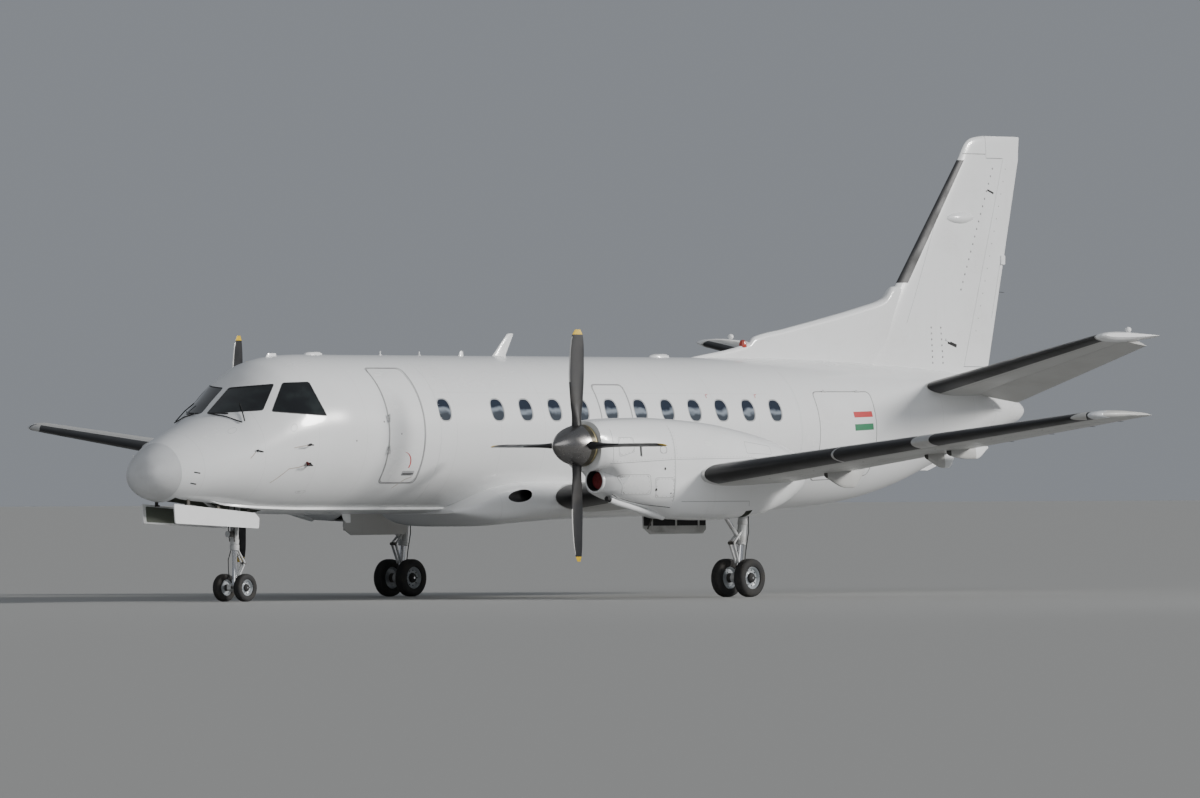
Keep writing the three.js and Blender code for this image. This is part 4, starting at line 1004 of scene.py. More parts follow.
def door_hinges():
    """Knuckles of the passenger door, and of the cargo door along its top edge."""
    body, door, lid = Shape(), Shape(), Shape()
    for z in (2.17, 2.63):
        centre = Vector((x_of(PASSENGER_DOOR["hinge_x"]), -PASSENGER_DOOR["hinge_y"], z))
        door_hinge(body, door, centre, Vector((0, 0, 1)), (-0.025, 0.06, 0), (0.055, 0.05, 0))
    fore, aft = (body_at(CARGO_DOOR[key], CARGO_DOOR["high"], 0.01, -1) for key in ("from", "to"))
    along = (aft - fore).normalized()
    for distance in (0.3, 1.14):
        door_hinge(body, lid, fore + along * distance, along, (0, 0.03, 0.026), (0, 0.012, -0.036))
    piece("passenger_door_hinge", door, [GEAR], "passenger_door_leaf", slot="bare_metal")
    piece("cargo_door_hinge", lid, [GEAR], "cargo_door_leaf", slot="bare_metal")
    piece("door_hinge_halves", body, [GEAR], "airframe", slot="bare_metal")


def doors():
    dress(leaf("passenger_door_skin", PASSENGER_DOOR, door_inner), "passenger_door_leaf", ["passenger_door"],
          "white_paint")
    dress(leaf("cargo_door_skin", CARGO_DOOR), "cargo_door_leaf", ["cargo_door"], "white_paint")
    port = body_skin(-1)
    handle = rounded([(4.5, -31.5), (4.76, -31.5), (4.76, -27.5), (4.5, -27.5)], 0.025, 4, PER_DEGREE)
    handle = filled_in(handle, 0.05, PER_DEGREE)
    marks = body_frame(Shape(), handle, 0.006, 0.001, -0.001, -1, 1)
    patch(marks, port, shrunk(handle, 0.008), 1, 0.0006)
    marks.pipe([body_at(s, -29.5, 0.012, -1) for s in (4.52, 4.58, 4.66, 4.73)], 0.008, 2)
    turn = [radians(80 - 100 * k / 12) for k in range(13)]
    arc = [(4.44 + 0.19 * cos(a), -22 + 9.0 * sin(a)) for a in turn]
    marks.take(strip(arc, [(s - 0.022, a) for s, a in arc][::-1]))
    piece("passenger_door_marks", marks, [RED, FRAME_GREY, SEAL], "passenger_door_leaf")
    stripes = Shape()
    for slot, low, high in ((0, 2.655, 2.742), (1, 2.458, 2.556)):
        low, high = angle_at(14.83, low), angle_at(14.83, high)
        outline = filled_in([(14.585, low), (15.07, low), (15.06, high), (14.575, high)], 0.05, PER_DEGREE)
        patch(stripes, port, outline, slot, 0.0012, 0.001, 4)
    piece("cargo_door_stripes", stripes, [RED, GREEN], "cargo_door_leaf")


def strip(one, two):
    """A thin painted strip on the port skin between two lines of stations and degrees."""
    outline = one + two
    n = len(outline)
    points = [body_at(s, a, rise, -1) for rise in (0.0012, -0.001) for s, a in outline]
    faces = []
    for k in range(len(one) - 1):
        a, b = k, n - 1 - k
        faces += [(a, a + 1, b - 1, b), (a + n, b + n, b - 1 + n, a + 1 + n)]
    faces += [(k, k + n, (k + 1) % n + n, (k + 1) % n) for k in range(n)]
    return Shape().add(points, faces)


STRAKE_ROWS = [(1.126, 1.455), (1.6, 1.402), (2.2, 1.366), (3.0, 1.346), (6.165, 1.336)]


def strake():
    """A slim ridge low along the nose."""
    rings = []
    for s in steps(STRAKE_ROWS[0][0], STRAKE_ROWS[-1][0], 0.12):
        spot, normal = body_skin()(s, angle_at(s, column(STRAKE_ROWS, 1, s)))
        reach = 0.034 * min(1, (s - 1.1) / 0.3, (6.2 - s) / 0.3)
        up = Vector((0, 0, 0.014))
        rings.append([spot + up - normal * 0.01, spot + normal * reach + up * 0.3,
                      spot + normal * reach - up * 0.2, spot - up - normal * 0.01])
    twin_pieces("strake", Shape().rings(rings), [WHITE_PLAIN], "airframe", slot="white_paint")


def probe(shape, s, z, reach, length, slot):
    """A bent tube on a foot that stands off the skin and points forward."""
    skin = body_skin()
    spot, normal = skin(s, angle_at(s, z))
    patch(shape, skin, disc(s, angle_at(s, z), 0.035, 0.6 / PER_DEGREE), slot, 0.004, 0.003)
    elbow = spot + normal * reach
    path = [spot - normal * 0.01, spot + normal * 0.6 * reach]
    shape.pipe([*path, *(elbow + Vector((-ahead, 0, 0)) for ahead in (0.012, length))], 0.009, slot, 12)


def side_marks():
    """Static ports, vane, probes, plates and brownish streaks of the nose, alike on both sides."""
    skin = body_skin()
    marks, wipers = Shape(), Shape()

    def at(s, z):
        return s, angle_at(s, z)

    for s, z in ((0.633, 1.85), (0.609, 1.694)):
        laid(marks, skin, [at(s - 0.045, z + 0.008), at(s + 0.045, z - 0.008)], 0.018, 1)
    for s, z in ((2.491, 2.245), (2.526, 1.973)):
        probe(marks, s, z, 0.085, 0.13, 1)
    laid(marks, skin, [at(2.46, 2.0), at(2.5, 1.95)], 0.02, 4, rise=0.04)
    spot, normal = skin(*at(1.565, 2.161))
    marks.rod(spot, spot + normal * 0.03, 0.014, slot=1)
    marks.pipe([spot + normal * 0.03, spot + normal * 0.035 + Vector((0.1, 0, -0.02))], 0.009, 1)
    for s, z, radius, tall, width in ((2.222, 2.489, 0.055, 1, 0.006), (1.34, 2.45, 0.07, 1, 0.005),
                                      (2.601, 1.572, 0.1, 0.35, 0.006)):
        laid(marks, skin, disc(*at(s, z), radius, tall / PER_DEGREE), width, 0, True)
    patch(marks, skin, disc(*at(2.57, 1.572), 0.035, 0.35 / PER_DEGREE))
    # Brownish streaks laid forward and down from the probes and the vane, and one just below the door
    for path in ([(2.47, 2.236), (2.2, 2.2)], [(2.5, 1.965), (2.33, 1.92), (2.16, 1.9), (1.9, 1.7)],
                 [(1.54, 2.14), (1.45, 2.05)], [(4.45, 1.62), (4.62, 1.74), (4.75, 1.78)]):
        laid(marks, skin, [at(*p) for p in path], 0.013, 2, rise=0.0006)
    for s, z in ((3.992, 2.575), (3.4, 2.3), (4.35, 2.4)):
        patch(marks, skin, disc(*at(s, z), 0.011, 1 / PER_DEGREE), 1)
    for s, z in ((11.19, 2.985), (12.3, 2.988)):
        laid(marks, skin, [at(s, z - 0.05), at(s, z), at(s + 0.05, z)], 0.012, 3)
    laid(marks, skin, [at(s, 3.0) for s in (5.3, 8.5, 12.6)], 0.002, 0, rise=0.0004, step=0.2)
    twin_pieces("side_marks", marks, [FAINT_LINE, DARK, SKIN_STREAK, RED, PLUG_RED], "airframe")
    for rise, *arm in ((0.022, (1.52, 0.66, 2.56), (1.395, 0.15, 2.7)),
                       (0.022, (1.56, 0.66, 2.57), (1.7, 0.42, 2.8)),
                       (0.012, (1.41, 0.1, 2.71), (1.5, 0.4, 2.68))):
        foot, tip = (body_at(*station_and_angle((x_of(s), y, z)), rise) for s, y, z in arm)
        bend = [foot.lerp(tip, 0.5) + Vector((0, 0, 0.02))] if rise > 0.02 else []
        wipers.pipe([foot, *bend, tip], 0.0085 if bend else 0.009, 0, 8)
    twin_pieces("wipers", wipers, [DARK], "airframe")


def door_seals():
    """Painted seal lines round the doors, and rows of fasteners beside them and beside the seams."""
    skins = {1: body_skin(1), -1: body_skin(-1)}
    seals, spots = Shape(), []
    for door, side, width in ((PASSENGER_DOOR, -1, 0.024), (CARGO_DOOR, -1, 0.008), (EXIT_HATCH, 1, 0.017),
                              (EXIT_HATCH, -1, 0.017)):
        laid(seals, skins[side], door_outline(door, DOOR_GAP + width / 2 + 0.001), width, 0, True)
        spots += spots_along(skins[side], door_outline(door, 0.045), 0.05, True)
    piece("door_seal_lines", seals, [LINE], "airframe")
    for s in (RADOME_SEAM + 0.025, NOSE_SEAM - 0.03, NOSE_SEAM + 0.03, REAR_SEAM - 0.03, REAR_SEAM + 0.03,
              CONE_SEAM - 0.03, CONE_SEAM + 0.03):
        spots += spots_along(skins[1], [(s, a) for a in range(-85, 265, 10)], 0.06)
    dress(riveted("fuselage_rivets", spots, 0.0055, WHITE_PLAIN), "airframe", slot="white_paint")


def ellipse_stack(shape, rows):
    """A blade or pod on the centre line: rows of station from, station to, half width and height."""
    rings = []
    for start, stop, half, z in rows:
        rings.append([(x_of((start + stop) / 2 + (stop - start) / 2 * cos(a)), half * sin(a), z)
                      for a in turns(20)])
    return shape.rings(rings)


def crown_aerials():
    crown = Shape()
    low = 3.535
    for rows in (
        [(2.7, 2.97, 0.02, 3.45), (2.72, 2.95, 0.016, 3.52), (2.76, 2.93, 0.006, 3.57)],
        [(3.52, 3.91, 0.07, low), (3.54, 3.89, 0.068, 3.575), (3.6, 3.85, 0.05, 3.592)],
        [(6.83, 6.95, 0.02, low), (6.86, 6.94, 0.012, 3.6), (6.88, 6.93, 0.004, 3.625)],
        [(7.55, 7.9, 0.035, low), (7.59, 7.87, 0.022, 3.57), (7.75, 7.96, 0.017, 3.73),
         (7.9, 8.04, 0.012, 3.875), (7.93, 8.03, 0.004, 3.887)],
        [(11.05, 11.52, 0.09, low), (11.09, 11.49, 0.085, 3.58), (11.16, 11.44, 0.05, 3.602)],
    ):
        ellipse_stack(crown, rows)
    for s in (5.146, 5.986):
        crown.turned([(0, 0.035), (0.02, 0.033), (0.035, 0.012), (0.075, 0.01), (0.08, 0.004)],
                     (x_of(s), 0, low), (0, 0, 1), 0, 20)
    lamp = [(0, 0.06), (0.05, 0.058), (0.09, 0.045), (0.11, 0.02), (0.113, 0.0)]
    crown.turned(lamp, (x_of(13.2), 0, 3.715), (0, 0, 1), 1, 28)
    crown.rod((x_of(0.25), 0.277, 2.06), (x_of(0.25), 0.277, 2.105), 0.014, slot=0)
    piece("crown_aerials", crown, [WHITE_PLAIN, BEACON], "airframe")
    belly = Shape()
    for rows in (
        [(4.3, 4.5, 0.018, 1.25), (4.34, 4.5, 0.014, 1.17), (4.4, 4.5, 0.006, 1.12)],
        [(12.3, 12.6, 0.02, 1.26), (12.36, 12.58, 0.014, 1.17), (12.44, 12.56, 0.005, 1.12)],
    ):
        ellipse_stack(belly, rows)
    lamp = [(0, 0.06), (0.05, 0.055), (0.085, 0.035), (0.095, 0.0)]
    belly.turned(lamp, (x_of(12.0), 0, 1.26), (0, 0, -1), 1, 28)
    piece("belly_aerials", belly, [WHITE_PLAIN, BEACON], "airframe")


def build_fuselage():
    for build in (nose_section, middle_fuselage, rear_fuselage, ends_of_body, exit_hatches, cabin_windows,
                  cockpit_windows, doors, door_hinges, strake, side_marks, door_seals, crown_aerials):
        build()


# Flying surfaces, made in their own frame: X aft, Y outboard, Z up
def foil_half(t, thick):
    return 5 * thick * (0.2969 * sqrt(t) - 0.126 * t - 0.3516 * t * t + 0.2843 * t ** 3 - 0.1015 * t ** 4)


FOIL_COUNT = 30
FOIL_SHARES = [(1 + cos(pi * k / FOIL_COUNT)) / 2 for k in range(FOIL_COUNT + 1)]


def turned_foil(span, lead, chord, incidence, at):
    """A point of a section from its place aft of the quarter chord and above it, turned by the incidence."""
    turn = radians(incidence)
    x, z = at
    return (x_of(lead) + chord / 4 + x * cos(turn) + z * sin(turn), span,
            z * cos(turn) - x * sin(turn))


def foil_ring(span, lead, chord, thick, camber, incidence=0.0):
    """An aerofoil outline from the trailing edge over the top to the nose and back below."""
    ring = []
    for sign, run in ((1, FOIL_SHARES), (-1, FOIL_SHARES[::-1][1:])):
        for t in run:
            z = (4 * camber * t * (1 - t) + sign * foil_half(t, thick)) * chord
            ring.append(turned_foil(span, lead, chord, incidence, ((t - 0.25) * chord, z)))
    return ring


def placed(dihedral, height):
    """Turns a point of a surface's own frame into the aircraft's."""
    a = radians(dihedral)

    def place(p):
        return (p[0], p[1] * cos(a) - p[2] * sin(a), p[1] * sin(a) + p[2] * cos(a) + height)

    return place


def control_region(hinge, spans, radii, grow=0.0):
    """The room behind a hinge line, with a round front, that a control surface is cut from."""
    (x0, y0, z0), (x1, y1, z1) = hinge
    deep, far = 0.7, 2.5
    rings = []
    for span in spans:
        t = (span - y0) / (y1 - y0)
        x, z = blend(x0, x1, t), blend(z0, z1, t)
        share = (span - spans[0]) / (spans[1] - spans[0])
        radius = blend(radii[0], radii[1], share) + grow
        loop = [(x + far, -deep), (x, -deep)]
        for k in range(17):
            a = radians(-90 - 180 * k / 16)
            loop.append((x + radius * cos(a), z + radius * sin(a)))
        loop += [(x, deep), (x + far, deep)]
        rings.append([(px, span, pz) for px, pz in loop])
    return Shape().rings(rings)


def split_control(blank, place, hinge, spans, radii):
    """The fixed part and the moving part of a flying surface."""
    inner = control_region(hinge, (spans[0] + RUN_GAP, spans[1] - RUN_GAP), radii).moved(place)
    moving = cut(copy_of(blank), inner, "INTERSECT")
    cut(blank, control_region(hinge, spans, radii, RUN_GAP).moved(place))
    return blank, moving


WING = {
    "root_lead": 7.43, "root_chord": 2.84, "tip_lead": 8.56, "tip_chord": 1.06, "root_thick": 0.17,
    "tip_thick": 0.12, "camber": 0.02, "root_z": 1.29, "dihedral": 7, "incidence": 2, "from": 0.85,
}
HALF_SPAN = SPAN / 2
WING_RUN = HALF_SPAN / cos(radians(WING["dihedral"]))
TIP_FROM = 0.33
AILERON = {"spans": (7.43, 10.35), "share": 0.72}
FLAPS = {"inner": (1.42, 2.83), "outer": (3.96, 7.4), "share": 0.71, "lead": 0.01, "drop": 0.045}
ON_WING = placed(WING["dihedral"], WING["root_z"])


def wing_plan(span):
    t = span / HALF_SPAN
    return tuple(blend(WING[f"root_{k}"], WING[f"tip_{k}"], t) for k in ("lead", "chord", "thick"))


# The raked tip. The columns are distance out from where it starts, leading edge, chord and thickness share.
TIP_ROWS = [(0.0, *wing_plan(WING_RUN - TIP_FROM)), (0.18, 8.62, 1.02, 0.12), (0.28, 8.86, 0.83, 0.11),
            (0.33, 9.25, 0.481, 0.09)]


def wing_row(span):
    beyond = span - (WING_RUN - TIP_FROM)
    plan = wing_plan(span) if beyond <= 0 else row_at(TIP_ROWS, beyond)
    return (span, *plan, WING["camber"])


def wing_mean(span, share):
    """A point of the wing's mean line."""
    lead, chord, _ = wing_plan(span)
    z = 4 * WING["camber"] * share * (1 - share) * chord
    return turned_foil(span, lead, chord, WING["incidence"], ((share - 0.25) * chord, z))


def wing_half(span, share):
    _, chord, thick = wing_plan(span)
    return foil_half(share, thick) * chord


def flap_hinge(span):
    """A point of the hinge line that both flaps of a wing turn on."""
    ends = []
    for s in (FLAPS["inner"][0], FLAPS["outer"][1]):
        x, y, z = wing_mean(s, FLAPS["share"])
        ends.append((x + FLAPS["lead"], y, z - wing_half(s, FLAPS["share"]) - FLAPS["drop"]))
    t = (span - ends[0][1]) / (ends[1][1] - ends[0][1])
    return tuple(blend(a, b, t) for a, b in zip(*ends))


def flap_region(spans, grow=0.0):
    rings = []
    for span in (spans[0] - grow, spans[1] + grow):
        x = wing_mean(span, FLAPS["share"])[0]
        loop = ((x - grow, -0.6), (x + 2.2, -0.6), (x + 2.2, 0.6), (x - grow, 0.6))
        rings.append([(px, span, z) for px, z in loop])
    return Shape().rings(rings).moved(ON_WING)


# Flap hinge fairings by span: depth, where the bottom is lowest, length, and the tail's rise and thickness
KEELS = {
    2.1: {"drop": 0.19, "low": (0.26, 0.42), "tail": 0.8, "rise": 0.06, "end": 0.02},
    4.9: {"drop": 0.17, "low": (0.44, 0.59), "tail": 0.88, "rise": 0.08, "end": 0.02},
    6.85: {"drop": 0.15, "low": (0.37, 0.48), "tail": 0.66, "rise": 0.06, "end": 0.03},
    7.27: {"drop": 0.075, "low": (0.42, 0.62), "tail": 0.9, "rise": 0.075, "end": 0.035},
}
KEEL_HALF = 0.032


def keel_shape(span, keel):
    """A slim fairing that hangs from the flap, rounded below, with a white tail on the outer two."""
    x, _, z = flap_hinge(span)
    low0, low1 = keel["low"]
    bottoms = [(-0.02, 0.0), (0.04, -0.03), (low0, -keel["drop"]), (low1, -keel["drop"]),
               (keel["tail"], keel["rise"])]
    rings, slots = [], []
    for along in steps(-0.02, keel["tail"], 0.025):
        bottom = z + column(bottoms, 1, along)
        top = max(bottom + keel["end"], z + 0.06 + 0.05 * min(1, max(0, along) / 0.3))
        share = max(0, min(1, (along + 0.02) / 0.12)) ** 0.5
        share *= min(1, (keel["tail"] - along) / 0.25 + 0.25) ** 0.5
        half = max(0.006, KEEL_HALF * share)
        ring = soft_square(x + along, span, (top + bottom) / 2, half, (top - bottom) / 2, 0.7, 20)
        rings.append(ring)
        slots.append(2 if along < 0.03 else 1 if span > 6 and along > keel["tail"] - 0.3 else 0)
    return Shape().rings(rings, slots[:-1]).moved(ON_WING)


def boot_shape(rows, upper, lower, rise, slot=0, incidence=0.0):
    """A thin rubber skin round a leading edge, over the rows of a surface."""
    rings = []
    count = 14
    run = [upper * (1 - sin(pi / 2 * k / count)) for k in range(count + 1)]
    back = [lower * (1 - cos(pi / 2 * k / count)) for k in range(1, count + 1)]
    for span, lead, chord, thick, camber in rows:
        def point(t, sign, out):
            z = (4 * camber * t * (1 - t) + sign * foil_half(t, thick)) * chord
            slope = 0.5 * foil_half(max(t, 1e-4), thick) / max(t, 1e-4)
            normal = Vector((-slope, 0, sign)).normalized() if t > 1e-6 else Vector((-1, 0, 0))
            at = (t - 0.25) * chord + normal.x * out, z + normal.z * out
            return turned_foil(span, lead, chord, incidence, at)

        outside, inside = ([point(t, 1, out) for t in run] + [point(t, -1, out) for t in back]
                           for out in (rise, -0.004))
        rings.append(outside + inside[::-1])
    return Shape().rings(rings, slot)


def wing_marks(wing):
    """Spar seams, rib seams, access plates, fuel caps and rivets, above and below the wing."""
    marks, spots = Shape(), []

    def across(y, share):
        lead, chord, _ = wing_plan(y / cos(radians(WING["dihedral"])))
        return lead + share * chord, y

    below, above = skin_of(wing, (0, 0, 1), -2.0), skin_of(wing, (0, 0, -1), 6.0)
    for skin in (below, above):
        for share in (0.17, 0.62):
            laid(marks, skin, [across(4.0, share), across(10.2, share)], 0.005, 0, step=0.15)
            spots += spots_along(skin, [across(4.05, share + 0.012), across(10.15, share + 0.012)], 0.055)
            laid(marks, skin, [across(1.4, share), across(2.75, share)], 0.005, 0, step=0.15)
        for y in (4.3, 5.2, 6.2, 7.3, 8.3, 9.3, 10.2):
            laid(marks, skin, [across(y, 0.17), across(y, 0.62)], 0.004, 0, step=0.1)
            spots += spots_along(skin, [across(y + 0.02, 0.18), across(y + 0.02, 0.61)], 0.055)
    for y in (4.8, 5.6, 6.5, 7.8, 8.8, 9.7):
        laid(marks, below, disc(across(y, 0.42)[0], y, 0.09, 1.5), 0.006, 0, True)
        patch(marks, below, disc(across(y - 0.25, 0.3)[0], y - 0.25, 0.014), 1, 0.001, 0.002)
    cap, _ = across(7.0, 0.38)
    laid(marks, above, disc(cap, 7.0, 0.06), 0.008, 1, True)
    patch(marks, above, disc(cap, 7.0, 0.045), 2, 0.003, 0.002)
    twin_pieces("wing_marks", marks, [LINE, DARK, FASTENER], "airframe")
    rivet_twins("wing_rivets", spots, 0.005, WING_TOP, "wing_paint")


def wicks(shape, ends, slot=0):
    """Thin discharge wicks that trail from an edge."""
    for x, y, z in ends:
        shape.rod((x - 0.02, y, z), (x + 0.11, y, z - 0.004), 0.005, 0.003, slot, 8)


# Boots and bare rings of a wing's edge: start, end and spacing, upper and lower reach, rise and finish
WING_EDGES = [
    (1.27, 2.9, 0.3, 0.1, 0.135, 0.0025, 0), (3.93, 6.16, 0.3, 0.1, 0.135, 0.0025, 0),
    (6.2, 7.55, 0.3, 0.1, 0.135, 0.0025, 0), (7.86, 10.56, 0.3, 0.1, 0.135, 0.0025, 0),
    (7.56, 7.85, 0.1, 0.1, 0.135, 0.001, 1), (6.165, 6.195, 0.03, 0.1, 0.135, 0.001, 1),
    (3.86, 3.93, 0.07, 0.12, 0.16, 0.0015, 1),
]


def build_wing():
    tip = WING_RUN - TIP_FROM
    spans = [*steps(WING["from"], tip, 0.45), *(tip + d for d in (
        0.06, 0.12, 0.18, 0.22, 0.25, 0.28, 0.3, 0.315, 0.325, 0.33))]
    shape = Shape().rings([foil_ring(*wing_row(s), WING["incidence"]) for s in spans]).moved(ON_WING)
    hinge, radii = ([of(s, AILERON["share"]) for s in AILERON["spans"]] for of in (wing_mean, wing_half))
    blank = solid("right_wing_skin", shape, [WING_TOP])
    wing, aileron = split_control(blank, ON_WING, hinge, AILERON["spans"], radii)
    flaps = {}
    for which in ("inner", "outer"):
        flaps[which] = cut(copy_of(wing), flap_region(FLAPS[which]), "INTERSECT")
        cut(wing, flap_region(FLAPS[which], RUN_GAP))
    cut(wing, Shape().box((-9, 0.9, -2), (9, 12, 6), 0, 0.001), "INTERSECT")
    wing_marks(wing)
    twins("wing_skin", wing, "airframe", ["SIDE_wing"], "wing_paint")
    twins("aileron_skin", aileron, "SIDE_aileron_panel", ["SIDE_aileron"], "wing_paint")
    for which, flap in flaps.items():
        twins(f"{which}_flap_skin", flap, "SIDE_flaps", [f"SIDE_{which}_flap"], "wing_paint")
    keels = Shape()
    for span, keel in KEELS.items():
        keels.take(keel_shape(span, keel))
    twin_pieces("flap_fairings", keels, [WING_TOP, WHITE_PLAIN, GEAR_DARK], "SIDE_flaps", slot="wing_paint")
    edges = Shape()
    for start, stop, step, *sizes in WING_EDGES:
        edges.take(boot_shape([wing_row(s) for s in steps(start, stop, step)], *sizes, WING["incidence"]))
    lens = [wing_row(s) for s in (10.565, 10.6, 10.64, 10.68, 10.71)]
    edges.take(boot_shape(lens, 0.12, 0.16, 0.003, 2, WING["incidence"]))
    twin_pieces("wing_boots", edges.moved(ON_WING), [BOOT, WING_EDGE, LENS], "airframe", slot="boot_rubber")
    trails = Shape()
    wicks(trails, [wing_mean(s, 0.995) for s in (8.1, 8.9, 9.7, 10.25)])
    twin_pieces("aileron_wicks", trails.moved(ON_WING), [SEAL], "SIDE_aileron_panel")


# Fin and rudder, made lying down and stood up
FIN_ROWS = [(2.9, 15.4, 3.43, 0.075), (6.65, 18.27, 1.44, 0.09), (6.8, 18.365, 1.35, 0.085),
            (6.9, 18.45, 1.275, 0.08), (6.96, 18.56, 1.17, 0.07), (7.0, 18.8, 0.93, 0.05)]
RUDDER = {"spans": (3.44, 6.673), "hinge": ((3.55, 18.415), (6.65, 19.33)), "radii": (0.078, 0.042),
          "horn": 18.875, "horn_gap": 0.018}
DORSAL_ROWS = [
    (11.95, 3.545, 0.03), (13.34, 3.79, 0.052), (13.42, 3.868, 0.054), (14.17, 4.008, 0.066),
    (15.93, 4.348, 0.086), (16.44, 4.478, 0.092), (16.56, 4.578, 0.084), (16.65, 4.66, 0.076),
    (17.2, 4.69, 0.04),
]


def stand_up(p):
    return (p[0], -p[2], p[1])


def fin_row(height):
    if height < FIN_ROWS[1][0]:
        t = (height - FIN_ROWS[0][0]) / (FIN_ROWS[1][0] - FIN_ROWS[0][0])
        return (height, *(blend(FIN_ROWS[0][k], FIN_ROWS[1][k], t) for k in (1, 2, 3)), 0)
    return (height, *row_at(FIN_ROWS[1:], height), 0)


# Strips on the fin's flank: path, width, finish and rise
FIN_STRIPS = [
    ([(18.02, 6.45), (17.1, 4.5), (16.9, 4.1)], 0.005, 0, 0.001),
    ([(18.35, 6.72), (18.86, 6.72)], 0.008, 1, 0.001), ([(18.9, 6.17), (19.06, 6.12)], 0.03, 1, 0.001),
    ([(17.9, 3.82), (18.12, 3.76)], 0.05, 1, 0.004),
    ([(17.84, 3.86), (17.95, 3.83)], 0.03, 2, 0.012),
]
LAMP_POD = [(0.69 * t, 0.095 * sin(pi * t) ** 0.6) for t in (
    0, 0.02, 0.06, 0.15, 0.3, 0.5, 0.7, 0.85, 0.94, 0.98, 1)]


def fin_marks(fin, rudder):
    """Seams, slots, a lamp fairing and rivets on both sides of the fin and the rudder."""
    fixed, moving, spots, rudder_spots = Shape(), Shape(), [], []
    for way in (1, -1):
        skin = skin_of(fin, (0, -way, 0), 2.0 * way)
        for path, width, slot, rise in FIN_STRIPS:
            laid(fixed, skin, path, width, slot, rise=rise)
        for start, end, step in (((19.03, 6.5), (18.23, 4.63), 0.13), ((17.48, 4.04), (17.52, 3.5), 0.09),
                                 ((17.72, 4.04), (17.78, 3.5), 0.09)):
            spots += spots_along(skin, [start, end], step)
        skin = skin_of(rudder, (0, -way, 0), 2.0 * way)
        laid(moving, skin, [(19.04, 4.2), (19.28, 5.15)], 0.005)
        rudder_spots += spots_along(skin, [(19.37, 6.5), (18.63, 4.0)], 0.2)
    for way in (1, -1):
        fixed.turned(LAMP_POD, (x_of(17.878), way * 0.055, 5.72), (1, 0, 0.03), 2, 24)
    moving.box((x_of(19.26), -0.03, 5.02), (x_of(19.36), 0.03, 5.17), 2, 0.008)
    wicks(moving, [(x_of(19.25), 0, 4.6), (x_of(19.36), 0, 5.6), (x_of(19.46), 0, 6.1)], 1)
    piece("fin_marks", fixed, [LINE, DARK, WHITE_PLAIN], "airframe")
    piece("rudder_marks", moving, [LINE, DARK, WHITE_PLAIN], "rudder_panel")
    dress(riveted("fin_fasteners", spots, 0.017, FASTENER), "airframe", slot="bare_metal")
    dress(riveted("rudder_fasteners", rudder_spots, 0.01, FASTENER), "rudder_panel", slot="bare_metal")


def build_fin():
    heights = [*steps(FIN_ROWS[0][0], FIN_ROWS[1][0], 0.35), *steps(6.67, 6.99, 0.016), 6.995, 7.0]
    shape = Shape().rings([foil_ring(*fin_row(h)) for h in heights]).moved(stand_up)
    blank = solid("fin_blank", shape, [WHITE_PLAIN])
    front, floor = x_of(RUDDER["horn"]), RUDDER["spans"][1]

    def horn_room(gap, low):
        return Shape().box((front - gap, -0.4, low), (x_of(20), 0.4, 7.1), 0, 0.0005)

    horn = cut(copy_of(blank), horn_room(0, floor - RUN_GAP), "INTERSECT")
    hinge = [(x_of(s), h, 0) for h, s in RUDDER["hinge"]]
    fin, rudder = split_control(blank, stand_up, hinge, RUDDER["spans"], RUDDER["radii"])
    cut(fin, horn_room(RUN_GAP, floor - RUDDER["horn_gap"]))
    fin_marks(fin, rudder)
    for obj, name, body, nodes in (
        (fin, "fin_skin", "airframe", ["fin"]), (rudder, "rudder_skin", "rudder_panel", ["rudder"]),
        (horn, "rudder_horn", "rudder_panel", []),
    ):
        obj.name = name
        dress(obj, body, nodes, "white_paint")
    rings = []
    for s in steps(DORSAL_ROWS[0][0], DORSAL_ROWS[-1][0], 0.05):
        top, half = row_at(DORSAL_ROWS, s)
        crown = [(x_of(s), half * power(cos(a), 0.8), top - 0.09 + 0.09 * sin(a))
                 for a in (pi * k / 8 for k in range(9))]
        rings.append([(x_of(s), half, 3.2), *crown, (x_of(s), -half, 3.2)])
    piece("fin_fillet", Shape().rings(rings), [WHITE_PLAIN], "airframe", slot="white_paint")
    boots = boot_shape([fin_row(h) for h in steps(4.72, 6.62, 0.3)], 0.075, 0.075, 0.002)
    piece("fin_boot", boots.moved(stand_up), [FIN_BOOT], "airframe", slot="boot_rubber")
    keel = [(x_of(s), z) for s, z in (
        (16.5, 1.9), (16.85, 1.862), (17.48, 1.85), (17.9, 1.99), (18.0, 2.2), (17.0, 2.1))]
    keel = Shape().plate(keel, -0.022, 0.022, 0, 0.008)
    piece("ventral_fin", keel, [WHITE_PLAIN], "airframe", slot="white_paint")


TAILPLANE = {"root_lead": 16.79, "root_chord": 2.39, "tip_lead": 16.77, "tip_chord": 1.18, "tip_span": 4.13,
             "from": 0.25, "thick": 0.11, "root_z": 3.0, "dihedral": 12}
CAP_ROWS = [(4.03, 16.7705, 1.209, 0.11), (4.046, 16.762, 1.396, 0.11), (4.14, 16.775, 1.375, 0.09),
            (4.185, 16.83, 1.28, 0.05)]
ELEVATOR = {"spans": (0.52, 4.02), "hinge_root": 18.18, "hinge_tip": 17.45, "droop": 14}
ON_TAIL = placed(TAILPLANE["dihedral"], TAILPLANE["root_z"])
# The tailplane's reach to each side, measured level
TAIL_REACH = 4.04


def tail_plan(t):
    """The leading edge and the chord at a share of the tailplane's span."""
    return [blend(TAILPLANE[f"root_{k}"], TAILPLANE[f"tip_{k}"], t) for k in ("lead", "chord")]


def tail_row(span):
    if span > CAP_ROWS[0][0]:
        return (span, *row_at(CAP_ROWS, span), 0)
    return (span, *tail_plan(span / TAILPLANE["tip_span"]), TAILPLANE["thick"], 0)


